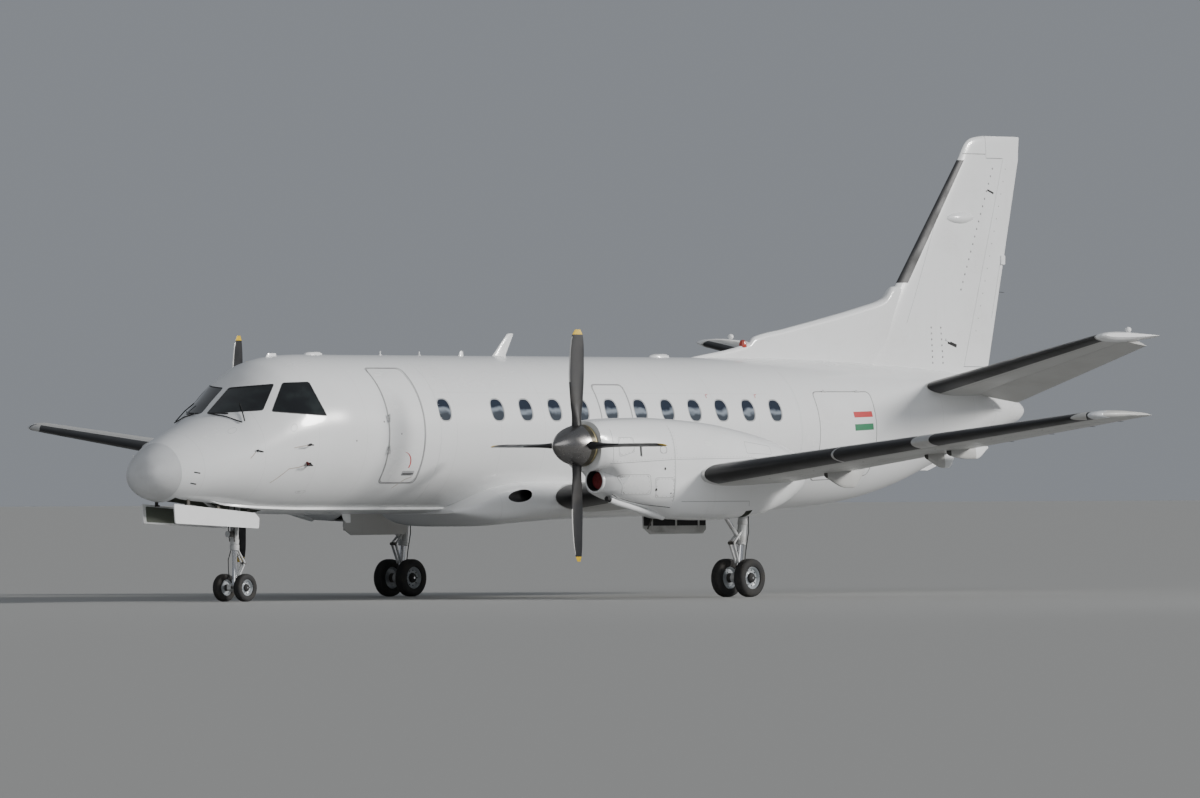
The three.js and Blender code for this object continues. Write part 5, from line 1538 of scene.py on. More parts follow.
def tailplane_marks(tail):
    """Spar seams above and below, and the spots for the rivets beside them."""
    marks, spots = Shape(), []
    for skin in (skin_of(tail, (0, 0, 1), 0.5), skin_of(tail, (0, 0, -1), 6.0)):
        for share in (0.18, 0.55):
            path = []
            for y in (0.9, 3.8):
                lead, chord = tail_plan(y / TAIL_REACH)
                path.append((lead + share * chord, y))
            laid(marks, skin, path, 0.005, 0, step=0.15)
            spots += spots_along(skin, [(s + 0.02, y) for s, y in path], 0.055)
    twin_pieces("tailplane_marks", marks, [LINE], "airframe")
    return spots


def tailplane_root():
    """A slim fairing at the foot of the tailplane's trailing edge."""
    rings = []
    for k in range(17):
        t = k / 16
        radius = 0.1 * (0.02 + 0.98 * sin(pi * t) ** 0.6)
        rings.append([(x_of(17.35 + 1.62 * t), 0.43 - 0.13 * t + radius * cos(a),
                       2.93 - 0.17 * t + radius * sin(a)) for a in turns(24)])
    twin_pieces("tailplane_root_fairing", Shape().rings(rings), [WHITE_PLAIN], "airframe", slot="white_paint")


def tailplane_tip():
    """A horn cap with a small ball on a stalk."""
    cap = Shape().rings([foil_ring(s, *row_at(CAP_ROWS[1:], s), 0) for s in (
        4.038, 4.05, 4.08, 4.11, 4.14, 4.16, 4.175, 4.185)])
    ball = [(0.055 * (1 - cos(a)), 0.045 * sin(a)) for a in (pi * k / 10 for k in range(11))]
    cap.turned(ball, (x_of(17.44), 4.09, 0.105), (1, 0, 0), 0, 20)
    cap.rod((x_of(17.495), 4.09, 0.02), (x_of(17.495), 4.09, 0.08), 0.012, sides=12)
    twin_pieces("tailplane_tip", cap.moved(ON_TAIL), [WHITE_PLAIN], "airframe", slot="white_paint")


def build_tailplane():
    spans = [*steps(TAILPLANE["from"], CAP_ROWS[0][0], 0.35), 4.036]
    shape = Shape().rings([foil_ring(*tail_row(s)) for s in spans]).moved(ON_TAIL)
    hinge = [(x_of(ELEVATOR["hinge_root"]), 0, 0), (x_of(ELEVATOR["hinge_tip"]), TAILPLANE["tip_span"], 0)]
    radii = []
    for span in ELEVATOR["spans"]:
        _, lead, chord, thick, _ = tail_row(span)
        x = blend(hinge[0][0], hinge[1][0], span / TAILPLANE["tip_span"])
        radii.append(foil_half((x - x_of(lead)) / chord, thick) * chord)
    blank = solid("right_tailplane_skin", shape, [WING_TOP])
    tail, elevator = split_control(blank, ON_TAIL, hinge, ELEVATOR["spans"], radii)
    start, end = (Vector(ON_TAIL(p)) for p in hinge)
    droop = Matrix.Translation(start) @ Matrix.Rotation(
        radians(ELEVATOR["droop"]), 4, end - start) @ Matrix.Translation(-start)
    elevator.data.transform(droop)
    spots = tailplane_marks(tail)
    tailplane_root()
    rivet_twins("tailplane_rivets", spots, 0.005, WING_TOP, "wing_paint")
    twins("tailplane_skin", tail, "airframe", ["SIDE_tailplane"], "wing_paint")
    twins("elevator_skin", elevator, "SIDE_elevator_panel", ["SIDE_elevator"], "wing_paint")
    tailplane_tip()
    boots = boot_shape([tail_row(s) for s in steps(0.62, 4.0, 0.3)], 0.1, 0.13, 0.002)
    twin_pieces("tailplane_boot", boots.moved(ON_TAIL), [BOOT], "airframe", slot="boot_rubber")


# Belly fairing. The columns are station, half width, top and bottom.
FAIRING_ROWS = [
    (5.95, 0.7, 1.3, 1.24), (6.25, 1.0, 1.48, 1.13), (6.6, 1.18, 1.64, 1.052), (7.2, 1.25, 1.72, 1.085),
    (8.3, 1.25, 1.72, 1.14), (9.6, 1.25, 1.7, 1.165), (10.6, 1.18, 1.62, 1.19), (11.4, 0.9, 1.45, 1.215),
    (11.8, 0.6, 1.3, 1.245),
]


def build_fairing():
    rings = []
    for s in steps(FAIRING_ROWS[0][0], FAIRING_ROWS[-1][0], 0.09):
        half, top, bottom = row_at(FAIRING_ROWS, s)
        rings.append(soft_square(x_of(s), 0, (top + bottom) / 2, half, (top - bottom) / 2, 0.55, 72))
    body = solid("wing_fairing_skin", Shape().rings(rings), [WHITE, DARK])
    scoop = Shape()
    for side in (1, -1):
        scoop.rod((x_of(6.6), side * 1.28, 1.5), (x_of(7.5), side * 1.02, 1.5), 0.105, 0.07, 1, 28)
    dress(cut(body, scoop), "airframe", ["wing_fairing"], "white_paint")


# Nacelle. The columns are station, top, bottom, half width and roundness of the lower half.
NACELLE_ROWS = [
    (5.815, 2.566, 1.85, 0.352, 0.78), (5.95, 2.59, 1.64, 0.385, 0.78), (6.3, 2.608, 1.45, 0.42, 0.78),
    (7.05, 2.618, 1.285, 0.465, 0.7), (7.5, 2.602, 1.15, 0.48, 0.55), (8.3, 2.55, 1.125, 0.48, 0.55),
    (9.25, 2.41, 1.17, 0.46, 0.6), (9.9, 2.27, 1.29, 0.38, 0.8), (10.45, 2.11, 1.5, 0.22, 1.0),
    (10.7, 2.0, 1.7, 0.09, 1.0),
]
COWL_SEAM = 7.3
INTAKE = {"station": 6.05, "z": 1.706, "radius": 0.152, "throat": 0.12, "depth": 0.42, "tilt": 0.02}
SHAFT = {"z": 2.215, "end": 6.18, "hole": 0.09, "radius": 0.07}
WHEEL_BAY = {"from": 7.52, "to": 9.1, "door_to": 8.95, "half": 0.375, "top": 1.48, "split": 0.008}


def nacelle_ring(station, grow=0.0):
    top, bottom, half, low = row_at(NACELLE_ROWS, station)
    ring = []
    for a in turns(72):
        soft = max(0.8, min(low, 1)) if sin(a) > 0 else low
        y = NACELLE_Y + power(cos(a), soft) * (half + grow)
        z = (top + bottom) / 2 + power(sin(a), soft) * ((top - bottom) / 2 + grow)
        ring.append((x_of(station), y, z))
    return ring


def nacelle_shape(start, stop, grow=0.0, slot=0):
    return Shape().rings([nacelle_ring(s, grow) for s in steps(start, stop, 0.05)], slot)


# The cowl's front is two lobes that flare into one: stations with radii, and with shares of the full depth.
DUCT_LOBE = [(6.08, 0.184), (6.12, 0.232), (6.18, 0.284), (6.25, 0.335), (6.34, 0.395), (6.51, 0.52)]
SHAFT_LOBE = [(5.69, 1.0), (5.815, 1.0), (5.88, 0.74), (5.95, 0.56), (6.05, 0.48), (6.12, 0.52), (6.2, 0.62),
              (6.3, 0.76), (6.4, 0.92), (6.51, 1.08)]


def shaft_lobe():
    """The cowl's own skin above, with a shallow underside that runs out over the intake."""
    rings = []
    for s in steps(SHAFT_LOBE[0][0], SHAFT_LOBE[-1][0], 0.03):
        ring = nacelle_ring(max(s, NACELLE_ROWS[0][0]), 0.002)
        middle = (max(p[2] for p in ring) + min(p[2] for p in ring)) / 2
        share = column(SHAFT_LOBE, 1, s)
        rings.append([(x_of(s), y, z if z > middle else blend(middle, z, share)) for _, y, z in ring])
    return Shape().rings(rings)


COWL_PANELS = [
    [(6.187, 1.791), (6.771, 1.79), (6.851, 1.501), (6.339, 1.503)],
    [(6.874, 1.746), (7.27, 1.745), (7.28, 1.456), (6.964, 1.457)],
    [(6.14, 2.33), (6.45, 2.33), (6.45, 2.12), (6.14, 2.05)],
    [(6.98, 2.2), (7.12, 2.2), (7.12, 2.1), (6.98, 2.1)],
]


def flanks(obj):
    """Finders of spots on an object's outboard and inboard flank."""
    return skin_of(obj, (0, -1, 0), 6.0), skin_of(obj, (0, 1, 0), 1.5)


def cowl_marks(cowl):
    """Seams, access panels, drain holes, a mast and fasteners on both flanks and the crown of the cowl."""
    outboard, inboard = flanks(cowl)
    above = skin_of(cowl, (0, 0, -1), 4.0)
    marks, spots = Shape(), []
    for skin in (outboard, inboard):
        for corners in COWL_PANELS:
            outline = rounded(corners, 0.04, 4)
            middle = np.mean(corners, axis=0)
            laid(marks, skin, outline, 0.006, 0, True)
            inside = [(blend(middle[0], s, 0.88), blend(middle[1], z, 0.86)) for s, z in outline]
            spots += spots_along(skin, inside, 0.07, True)
        for path, width, slot in (
            ([(6.0, 1.95), (7.29, 2.01)], 0.007, 0), ([(6.03, 2.45), (6.03, 1.95)], 0.006, 0),
            ([(7.285, 2.5), (7.285, 1.4)], 0.007, 0),
            ([(6.22, 1.51), (6.341, 1.462), (6.6, 1.405), (6.867, 1.36), (7.28, 1.315)], 0.011, 1),
        ):
            laid(marks, skin, path, width, slot)
        for s, z, radius in ((7.073, 1.876, 0.019), (6.929, 1.573, 0.019), (7.22, 1.52, 0.01)):
            patch(marks, skin, disc(s, z, radius, 1.1), 1, 0.0012, 0.002)
        spots += spots_along(skin, [(6.05, 1.975), (7.27, 2.035)], 0.06)
        spots += spots_along(skin, [(7.265, 2.45), (7.265, 1.42)], 0.05)
    duct = [(6.25, 1.432), (6.4, 1.39), (6.6, 1.35), (6.87, 1.29), (7.2, 1.215), (7.4, 1.175)]
    marks.pipe([(x_of(s), NACELLE_Y + 0.12, z) for s, z in duct], 0.045, 2, 24)
    marks.rod((x_of(6.17), NACELLE_Y + 0.12, 1.45), (x_of(6.28), NACELLE_Y + 0.12, 1.422), 0.036, slot=1)
    laid(marks, outboard, [(6.575, 2.06), (6.575, 2.235)], 0.026, 1)
    laid(marks, outboard, [(6.602, 2.055), (6.602, 2.24)], 0.02, 2, rise=0.012)
    for y in (-0.16, 0.16):
        laid(marks, above, [(5.9, NACELLE_Y + y), (7.29, NACELLE_Y + y)], 0.006)
        spots += spots_along(above, [(5.95, NACELLE_Y + y * 1.12), (7.27, NACELLE_Y + y * 1.12)], 0.06)
    twin_pieces("cowl_marks", marks, [LINE, DARK, WHITE_PLAIN], "airframe")
    rivet_twins("cowl_fasteners", spots, 0.0055, FASTENER, "bare_metal")


def nacelle_marks(rear):
    """Seams, a panel and fasteners on both flanks of the rear nacelle."""
    marks, spots = Shape(), []
    for skin in flanks(rear):
        laid(marks, skin, [(7.31, 2.01), (9.0, 2.03), (9.8, 1.98)], 0.006)
        laid(marks, skin, [(7.45, 1.4), (8.95, 1.4), (8.97, 1.33)], 0.007)
        spots += spots_along(skin, [(7.33, 2.035), (9.0, 2.055)], 0.07)
        spots += spots_along(skin, [(7.33, 2.4), (7.33, 2.1)], 0.05)
        laid(marks, skin, rounded([(8.9, 2.27), (9.5, 2.2), (9.5, 2.08), (8.9, 2.1)], 0.03), 0.005, 0, True)
    twin_pieces("nacelle_marks", marks, [LINE, DARK], "airframe")
    rivet_twins("nacelle_fasteners", spots, 0.0055, FASTENER, "bare_metal")


def build_nacelle():
    finishes = [WHITE_PLAIN, DARK, BAY, GEAR_DARK]
    cowl = solid("right_cowl_skin", nacelle_shape(NACELLE_ROWS[0][0], COWL_SEAM - 0.001), finishes)
    centre, ahead = (x_of(INTAKE["station"]), NACELLE_Y, INTAKE["z"]), (1, 0, INTAKE["tilt"])
    notch = Shape().box((x_of(5.7), NACELLE_Y - 0.6, 1.2), (x_of(6.5), NACELLE_Y + 0.6, 2.9))
    notch = solid("notch_tool", notch, finishes)
    duct = Shape().turned([(x_of(s), r) for s, r in DUCT_LOBE], (0, NACELLE_Y, INTAKE["z"]), (1, 0, 0), 0, 72)
    cut(cut(notch, duct), shaft_lobe())
    cut(cowl, notch)
    lip = [(0.03, 0.1), (0.0, 0.158), (-0.006, 0.166), (0.0, 0.176), (0.03, 0.186), (0.5, 0.15)]
    cut(cowl, Shape().turned(lip, centre, ahead, 0, 56), "UNION")
    hole = [(-0.2, INTAKE["radius"]), (0.03, INTAKE["radius"]), (INTAKE["depth"], INTAKE["throat"])]
    cut(cowl, Shape().turned(hole, centre, ahead, 1, 48))
    cut(cowl, Shape().rod((x_of(5.7), NACELLE_Y, SHAFT["z"]), (x_of(SHAFT["end"]), NACELLE_Y, SHAFT["z"]),
                          SHAFT["hole"], slot=1, sides=32))
    cowl_marks(cowl)
    twins("cowl_skin", cowl, "airframe", ["SIDE_engine_cowl"], "white_paint")
    rear = solid("right_nacelle_skin", nacelle_shape(COWL_SEAM + 0.001, NACELLE_ROWS[-1][0]), finishes)
    cut(rear, Shape().box((x_of(WHEEL_BAY["from"]), NACELLE_Y - WHEEL_BAY["half"], 0.9),
                          (x_of(WHEEL_BAY["to"]), NACELLE_Y + WHEEL_BAY["half"], WHEEL_BAY["top"]), 2, 0.002))
    nacelle_marks(rear)
    twins("nacelle_skin", rear, "airframe", ["SIDE_nacelle"], "white_paint")
    door = solid("right_outer_bay_door_skin", nacelle_shape(7.4, 9.1), finishes)
    cut(door, nacelle_shape(7.3, 9.2, -0.022, 2))
    room = Shape().box((x_of(WHEEL_BAY["from"]) + 0.003, NACELLE_Y + WHEEL_BAY["split"], 0.9),
                       (x_of(WHEEL_BAY["door_to"]), NACELLE_Y + WHEEL_BAY["half"] - 0.003, 1.38), 0, 0.0005)
    cut(door, room, "INTERSECT")
    twins("outer_bay_door_skin", door, "airframe", ["SIDE_outer_bay_door"], "white_paint")
    cover = Shape().turned([(0.0, 0.02), (0.004, 0.115), (0.012, 0.126), (0.05, 0.1285), (0.1, 0.126)],
                           (x_of(6.14), NACELLE_Y, INTAKE["z"] + 0.0018), ahead, 0, 40)
    twin_pieces("intake_plug", cover, [PLUG_RED], "airframe")


# Propeller. The columns are radius, chord, thickness and angle from the disc.
BLADE_ROWS = [
    (0.2, 0.18, 0.14, 88), (0.37, 0.175, 0.105, 88), (0.6, 0.235, 0.062, 85), (1.0, 0.285, 0.034, 82),
    (1.4, 0.25, 0.022, 79), (1.59, 0.185, 0.015, 77), (1.672, 0.09, 0.009, 77),
]
BLADE_SWEEP = 0.035
PROP = {"station": 5.675, "radius": 0.305, "tip": 5.165, "base": 5.8, "blades": 4, "split": 0.8}


def blade_shape():
    """One blade, upright from the hub's centre, with its finishes by radius and a bare leading edge."""
    radii = [*steps(0.2, 1.5, 0.065), 1.54, 1.57, 1.6, 1.62, 1.64, 1.655, 1.665, 1.672]
    count = 24
    rings, slots = [], []
    for radius in radii:
        chord, thick, angle = row_at(BLADE_ROWS, radius)
        turn = radians(angle)
        sweep = BLADE_SWEEP * max(0, (radius - 0.9) / 0.77) ** 2
        ring = []
        for a in turns(count):
            u, v = cos(a) * chord / 2, power(sin(a), 1.15) * thick / 2
            ring.append((u * sin(turn) - v * cos(turn) + sweep, u * cos(turn) + v * sin(turn), radius))
        rings.append(ring)
        slots.append(1 if radius >= 1.59 else 3 if radius < 0.84 else 0)
    shape = Shape().rings(rings, slots[:-1])
    for band in range(len(rings) - 1):
        if 0.9 < radii[band] < 1.57:
            for k in range(10, 14):
                shape.slots[band * count + k] = 2
    return shape


# Spinner outline: share of its length and share of its radius
SPINNER_ROWS = [(0, 0.0), (0.004, 0.035), (0.015, 0.075), (0.05, 0.16), (0.12, 0.305), (0.25, 0.535),
                (0.4, 0.735), (0.5, 0.83), (0.7, 0.945), (0.86, 0.99), (0.93, 1.0)]
PROP_FINISHES = [BLADE, YELLOW, WING_EDGE, CUFF, SPINNER, WORN_RING, SPINNER_BACK]


def build_propeller():
    """The spinner in two parts with a worn ring behind them, the shaft and the blades."""
    shape = Shape()
    full, split, length = PROP["radius"], PROP["split"], PROP["base"] - PROP["tip"]
    shares = [0, 0.002, 0.006, 0.012, 0.02, 0.035, 0.055, *steps(0.08, split, 0.035)]
    front = [(length * t, full * column(SPINNER_ROWS, 1, t)) for t in shares]
    edge = front[-1][1]
    groove = (length * (split + 0.003), edge - 0.003)
    back = [groove, (length * (split + 0.006), edge), (length * 0.93, full), (length * 0.935, full - 0.003)]
    ring = [(0, full - 0.003), (0.002, full), (0.038, full), (0.044, full - 0.006), (0.044, 0.075)]
    for profile, start, slot, caps in (
        ([*front, groove], x_of(PROP["tip"]), 4, (True, False)), (back, x_of(PROP["tip"]), 6, (False, False)),
        (ring, x_of(PROP["base"]) - 0.044, 5, (False, True)),
    ):
        shape.turned(profile, (start, 0, 0), (1, 0, 0), slot, 72, caps)
    ends = ((x_of(PROP["base"]) - 0.01, 0, 0), (x_of(SHAFT["end"]) - 0.002, 0, 0))
    shape.rod(*ends, SHAFT["radius"], slot=2, sides=32)
    blade = blade_shape().shifted(x_of(PROP["station"]))
    for a in turns(PROP["blades"]):
        shape.take(blade.moved(lambda p: (
            p[0], p[1] * cos(a) - p[2] * sin(a), p[1] * sin(a) + p[2] * cos(a))))
    twin_pieces("propeller_and_spinner", shape.shifted(0, NACELLE_Y, SHAFT["z"]), PROP_FINISHES, "SIDE_prop",
                ["SIDE_propeller"], "blade_paint", 35)


# Wheels and legs
NOSE_GEAR = {"station": 2.045, "radius": 0.2, "width": 0.125, "offset": 0.205, "axle": 0.026}
MAIN_GEAR = {"station": 9.2, "radius": 0.28, "width": 0.175, "offset": 0.22, "axle": 0.038}


def wheel_shape(gear, outward):
    """Tyre with tread grooves, and a dished rim with a hub cap on the outward side, about the origin."""
    radius, half = gear["radius"], gear["width"] / 2
    shape = Shape()
    side = [(-0.62, 0.575), (-0.86, 0.6), (-0.96, 0.68), (-1.0, 0.78), (-0.96, 0.87), (-0.86, 0.94),
            (-0.72, 0.98)]
    tread = [(groove + a, r) for groove in (-0.42, -0.14, 0.14, 0.42) for a, r in (
        (-0.045, 1.0), (-0.03, 0.972), (0.03, 0.972), (0.045, 1.0))]
    mirror = [(-a, r) for a, r in side[::-1]]
    profile = [(a * half, r * radius) for a, r in side + tread + mirror]
    shape.turned(profile + [profile[0]], (0, 0, 0), (0, 1, 0), 0, 72, (False, False))
    dish = [(0.66, 0.59), (0.7, 0.56), (0.6, 0.53), (0.5, 0.5), (0.28, 0.46), (0.2, 0.36), (0.3, 0.27),
            (0.62, 0.24), (0.72, 0.2), (0.76, 0.12), (0.78, 0.0)]
    back = [(-0.66, 0.59), (-0.7, 0.56), (-0.55, 0.52), (-0.3, 0.46), (-0.3, 0.3), (-0.3, 0.0)]
    loop = [(outward * a * half, r * radius) for a, r in [*dish[::-1], *back]]
    shape.turned(loop, (0, 0, 0), (0, 1, 0), [2] * 4 + [1] * (len(loop) - 5), 64, (False, False))

    def stud(angle, share, low, high, size, slot, sides):
        x, z = share * radius * cos(angle), share * radius * sin(angle)
        ends = ((x, outward * low * half, z), (x, outward * high * half, z))
        shape.rod(*ends, size * radius, slot=slot, sides=sides)

    for a in turns(9):
        stud(a, 0.415, 0.2, 0.272, 0.042, 2, 16)
        stud(a + pi / 9, 0.3, 0.25, 0.36, 0.022, 3, 6)
    stud(0, 0, 0.7, 0.86, 0.07, 3, 6)
    return shape


def wheels(gear):
    shape = Shape()
    for side in (-1, 1):
        shape.take(wheel_shape(gear, side).shifted(0, side * gear["offset"]))
        inner = side * (gear["offset"] - gear["width"] * 0.28)
        shape.rod((0, inner, 0), (0, side * 0.105, 0), gear["axle"] * 1.9, gear["axle"] * 1.6, 4, 32)
    shape.pin((0, 0, 0), gear["offset"], gear["axle"], 3, 28)
    return shape.shifted(x_of(gear["station"]), 0, gear["radius"])


WHEEL_FINISHES = [TYRE, RIM, DARK, CHROME, GEAR_DARK]


def build_nose_gear():
    """The leg with its drag brace, trunnion and lamp, and the steered part with its torque links."""
    x = x_of(NOSE_GEAR["station"])
    piece("nose_wheels_and_tyres", wheels(NOSE_GEAR), WHEEL_FINISHES, "nose_wheel_pair", ["nose_wheels"],
          "tyre_rubber", 32)
    leg = Shape()
    leg.turned([(0, 0.05), (0.004, 0.062), (0.05, 0.066), (0.07, 0.066), (0.075, 0.06), (0.28, 0.06),
                (0.285, 0.066), (0.33, 0.066), (0.335, 0.058), (0.93, 0.055)], (x, 0, 0.82), (0, 0, 1), 0, 40)
    leg.rod((x - 0.9, 0, 1.6), (x - 0.02, 0, 1.12), 0.026, 0.032, 0, 24)
    leg.pin((x - 0.9, 0, 1.6), 0.15, 0.032)
    leg.pin((x, 0, 1.5), 0.299, 0.043, sides=28)
    for side in (-1, 1):
        leg.rod((x, side * 0.11, 1.5), (x, side * 0.045, 1.02), 0.024, 0.02, 0, 20)
        leg.rod((x, side * 0.28, 1.5), (x, side * 0.297, 1.5), 0.058, slot=1, sides=28)
        hose = ((0.05, 0.05, 1.45), (0.07, 0.06, 1.2), (0.066, 0.055, 0.97), (0.05, 0.045, 0.86))
        leg.pipe([(x - ahead, side * y, z) for ahead, y, z in hose], 0.008, 2)
    leg.rod((x - 0.09, 0.0, 0.93), (x - 0.09, 0.0, 1.01), 0.055, slot=3, sides=28)
    leg.rod((x - 0.085, 0, 0.97), (x, 0, 0.97), 0.02, slot=0)
    leg.rod((x - 0.145, 0, 0.97), (x - 0.152, 0, 0.97), 0.045, slot=4, sides=28)
    piece("nose_leg_assembly", leg, [GEAR, GEAR_DARK, HOSE, GEAR_DARK, LENS], "airframe", ["nose_leg"],
          "gear_metal")
    fork = Shape()
    fork.turned([(0, 0.04), (0.01, 0.05), (0.1, 0.05), (0.13, 0.04), (0.3, 0.038), (0.61, 0.038)],
                (x, 0, 0.2), (0, 0, 1), 1, 36)
    fork.turned([(0, 0.055), (0.006, 0.068), (0.08, 0.068), (0.0865, 0.06)], (x, 0, 0.733), (0, 0, 1), 0, 40)
    fork.pin((x, 0, 0.2), 0.085, 0.056, sides=32)
    for side in (-1, 1):
        fork.rod((x + 0.03, side * 0.02, 0.77), (x + 0.178, side * 0.034, 0.55), 0.014, sides=14)
        fork.rod((x + 0.178, side * 0.03, 0.55), (x + 0.035, side * 0.022, 0.31), 0.014, sides=14)
    fork.pin((x + 0.18, 0, 0.55), 0.045, 0.02, 2, 16)
    fork.pin((x + 0.1, 0, 0.665), 0.03, 0.01)
    fork.box((x - 0.13, -0.038, 0.17), (x - 0.02, 0.038, 0.24), 0, 0.008)
    fork.pin((x - 0.105, 0, 0.205), 0.045, 0.018, 2)
    hose = ((0.045, 0.03, 0.74), (0.08, 0.05, 0.6), (0.075, 0.05, 0.42), (0.045, 0.03, 0.27))
    fork.pipe([(x - ahead, y, z) for ahead, y, z in hose], 0.007, 3)
    piece("nose_fork_assembly", fork, [GEAR, CHROME, GEAR_DARK, HOSE], "nose_fork", ["nose_steering"],
          "gear_metal")


# The main leg leans aft towards its top, by this much for each metre of height.
MAIN_LEAN = 0.13 / 1.01


def main_leg_at(z, forward=0.0, across=0.0):
    return Vector((x_of(MAIN_GEAR["station"]) + MAIN_LEAN * (z - MAIN_GEAR["radius"]) - forward, across, z))


def build_main_gear():
    """The leg with its piston, torque links, hoses and the brace that runs forward from it."""
    twin_pieces("main_wheels_and_tyres", wheels(MAIN_GEAR).shifted(0, NACELLE_Y), WHEEL_FINISHES,
                "SIDE_wheel_pair", ["SIDE_main_wheels"], "tyre_rubber", 32)
    leg = Shape()
    axis = main_leg_at(1.29) - main_leg_at(0.28)
    leg.turned([(0, 0.05), (0.01, 0.062), (0.1, 0.062), (0.14, 0.054), (0.2, 0.046), (0.55, 0.046)],
               main_leg_at(0.28), axis, 1, 40)
    leg.turned([(0, 0.056), (0.006, 0.072), (0.06, 0.072), (0.066, 0.066), (0.3, 0.066), (0.305, 0.072),
                (0.36, 0.072), (0.365, 0.068), (0.53, 0.07)], main_leg_at(0.76), axis, 0, 40)
    leg.pin(main_leg_at(0.28), 0.1, 0.072, sides=36)
    hose = ((1.2, 0.06, 0.05), (0.95, 0.085, 0.06), (0.7, 0.07, 0.05), (0.45, 0.06, 0.05), (0.33, 0.05, 0.08))
    for side in (-1, 1):
        leg.rod(main_leg_at(0.95, 0.05, side * 0.03), main_leg_at(0.79, 0.205, side * 0.045), 0.018, sides=16)
        leg.rod(main_leg_at(0.79, 0.205, side * 0.04), main_leg_at(0.5, 0.045, side * 0.028), 0.018, sides=16)
        leg.pipe([main_leg_at(z, -aft, side * y) for z, aft, y in hose], 0.008, 3)
    leg.pin(main_leg_at(0.79, 0.21), 0.055, 0.024, 2, 18)
    leg.pin(main_leg_at(0.96, 0.03), 0.05, 0.028, 0, 18)
    top, foot = Vector((x_of(8.7), 0, 1.42)), main_leg_at(0.8)
    leg.rod(foot, top, 0.03, 0.034, 0, 24)
    leg.rod(blend(foot, top, 0.34), blend(foot, top, 0.66), 0.034, slot=1, sides=24)
    leg.pin(foot, 0.05, 0.03, 2, 18)
    twin_pieces("main_leg_assembly", leg.shifted(0, NACELLE_Y), [GEAR, CHROME, GEAR_DARK, HOSE], "airframe",
                ["SIDE_main_leg"], "gear_metal")


def build_gear_doors():
    """The nose bay doors and the inner main bay doors, which hang open, with their ribs and linings, and
    painted shade along the top of each inner door's lining.
    """
    door = Shape()
    outline = rounded([(x_of(0.455), 1.41), (x_of(2.13), 1.275), (x_of(2.226), 1.2), (x_of(2.216), 1.049),
                       (x_of(0.48), 1.13)], 0.03)
    door.plate(outline, 0.303, 0.325, 0, 0.004)
    lining = [(blend(x_of(1.35), x, 0.93), blend(1.23, z, 0.8)) for x, z in outline]
    door.plate(lining, 0.298, 0.304, 1, 0.003)
    for s in (0.76, 1.38, 2.0):
        door.box((x_of(s) - 0.03, 0.304, 1.2), (x_of(s) + 0.03, 0.322, 1.5), 2, 0.004)
        door.rod((x_of(s) - 0.045, 0.3, 1.38), (x_of(s) + 0.045, 0.3, 1.38), 0.012, slot=2, sides=14)
    twin_pieces("nose_door_skin", door, [WHITE_PLAIN, BAY, GEAR_DARK], "airframe", ["SIDE_nose_door"],
                "white_paint")
    inner = Shape()
    y = NACELLE_Y - WHEEL_BAY["half"] - 0.022
    outline = rounded([(x_of(7.53), 1.33), (x_of(8.9), 1.33), (x_of(8.93), 1.0), (x_of(8.87), 0.93),
                       (x_of(7.7), 0.925), (x_of(7.54), 1.02)], 0.03)
    inner.plate(outline, y, y + 0.02, 0, 0.004)
    lining = [(blend(x_of(8.23), x, 0.93), blend(1.12, z, 0.86)) for x, z in outline]
    inner.plate(lining, y + 0.019, y + 0.026, 1, 0.003)
    for s in (7.72, 8.25, 8.75):
        inner.box((x_of(s) - 0.02, y + 0.02, 0.98), (x_of(s) + 0.02, y + 0.034, 1.3), 1, 0.004)
    # Painted shade: a dark strip over the upper part of the door's inner face, where the bay above shades it
    inner.box((x_of(7.55), y + 0.02, 1.05), (x_of(8.91), y + 0.031, 1.32), 3, 0.003)
    stay = ((7.6, 0.05, 1.0), (7.63, 0.09, 1.12), (7.66, 0.16, 1.3))
    inner.pipe([(x_of(s), y + off, z) for s, off, z in stay], 0.012, 2, 12)
    twin_pieces("inner_bay_door_skin", inner, [WING_TOP, BAY_GREY, GEAR_DARK, DARK], "airframe",
                ["SIDE_inner_bay_door"], "wing_paint")


def build_engines():
    """The engine blocks stay as the solids are, with a finish of their own."""
    for side in ("left", "right"):
        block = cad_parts[f"{side}_engine"]
        block.data.materials.clear()
        block.data.materials.append(ENGINE_IRON)


# Camera at the photo's viewpoint
CAMERA = {"place": (-133.073, -118.407, 1.449), "yaw": 0.844, "pitch": 0.0083, "roll": -0.0057, "lens": 360.0}


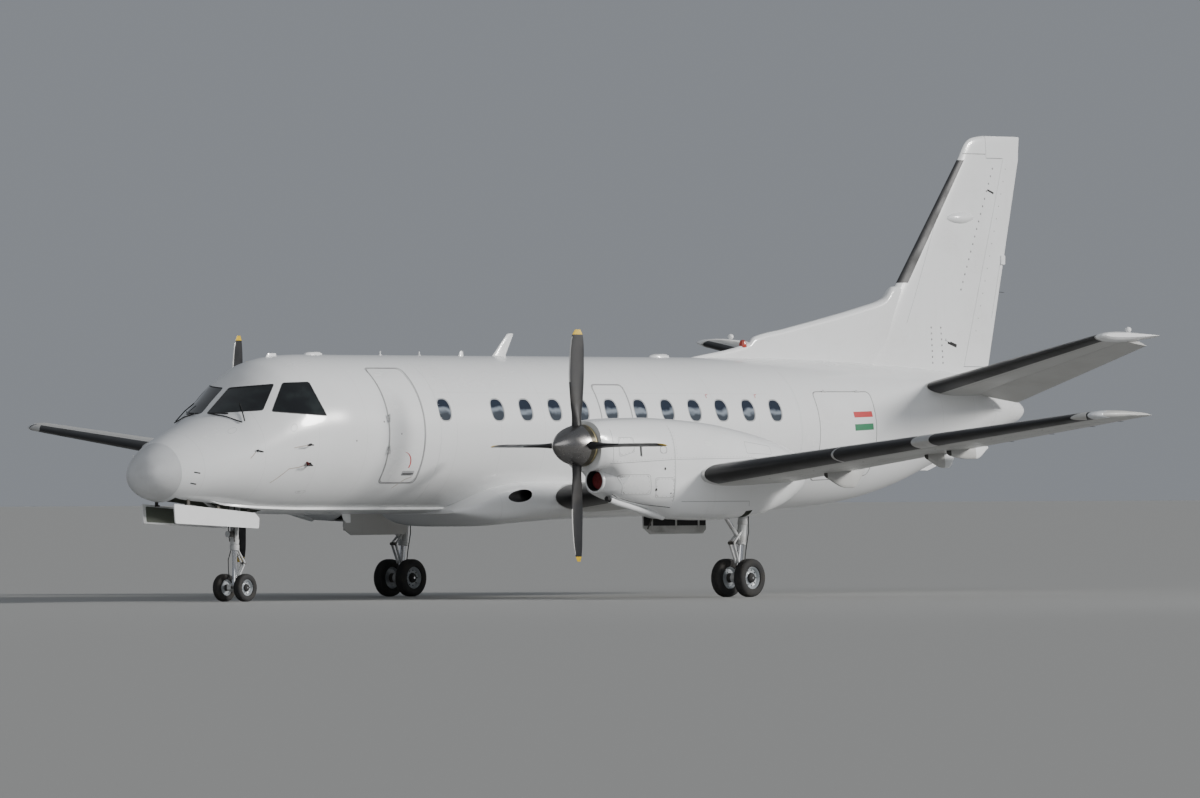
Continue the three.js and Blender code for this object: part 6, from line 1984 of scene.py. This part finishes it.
def build_camera():
    yaw, pitch, roll = CAMERA["yaw"], CAMERA["pitch"], CAMERA["roll"]
    ahead = Vector((sin(yaw) * cos(pitch), cos(yaw) * cos(pitch), sin(pitch)))
    right = Vector((cos(yaw), -sin(yaw), 0))
    up = right.cross(ahead)
    right, up = right * cos(roll) + up * sin(roll), up * cos(roll) - right * sin(roll)
    data = bpy.data.cameras.new("camera")
    data.lens, data.sensor_width, data.clip_end = CAMERA["lens"], 36.0, 5000.0
    camera = linked("camera", data)
    turn = Matrix((right, up, -ahead)).transposed().to_4x4()
    camera.matrix_world = Matrix.Translation(CAMERA["place"]) @ turn
    SCENE.camera = camera


def sun(name, energy, spread, origin, colour=(1, 1, 1)):
    data = bpy.data.lights.new(name, "SUN")
    data.energy, data.angle, data.color = energy, radians(spread), colour
    linked(name, data).rotation_euler = Vector(origin).to_track_quat("Z", "Y").to_euler()


FLOOR_REACH = 2500.0


def build_studio():
    """A plain floor, a pale sky, a soft key and fill light, and a glow on the port side."""
    floor = bpy.data.meshes.new("studio_floor")
    corners = [(x * FLOOR_REACH, y * FLOOR_REACH, 0) for x, y in ((-1, -1), (1, -1), (1, 1), (-1, 1))]
    floor.from_pydata(corners, [], [(0, 1, 2, 3)])
    _, look = surface("pale_floor")
    floor.materials.append(look(Base_Color=(0.36, 0.36, 0.35, 1), Roughness=0.75))
    linked("studio_floor", floor)
    world = bpy.data.worlds.new("studio")
    world.use_nodes = True
    sky = world.node_tree.nodes["Background"].inputs
    sky["Color"].default_value = (0.3, 0.32, 0.35, 1)
    sky["Strength"].default_value = 0.8
    SCENE.world = world
    sun("key", 3.1, 10, (0.6, -0.95, 0.42), (1.0, 0.98, 0.95))
    sun("fill", 0.45, 40, (-0.8, -0.75, 0.5))
    data = bpy.data.lights.new("floor_glow", "AREA")
    data.shape, data.size, data.size_y = "RECTANGLE", 16, 8
    data.energy, data.color = 900, (0.96, 0.98, 1.0)
    glow = linked("floor_glow", data)
    glow.location = (2, -30, 14)
    glow.rotation_euler = (Vector((0, 0, 1)) - glow.location).to_track_quat("-Z", "Y").to_euler()
    glow.visible_glossy = False


for build in (build_fuselage, build_fairing, build_wing, build_fin, build_tailplane, build_nacelle,
              build_propeller, build_nose_gear, build_main_gear, build_gear_doors, build_engines,
              build_camera, build_studio):
    build()
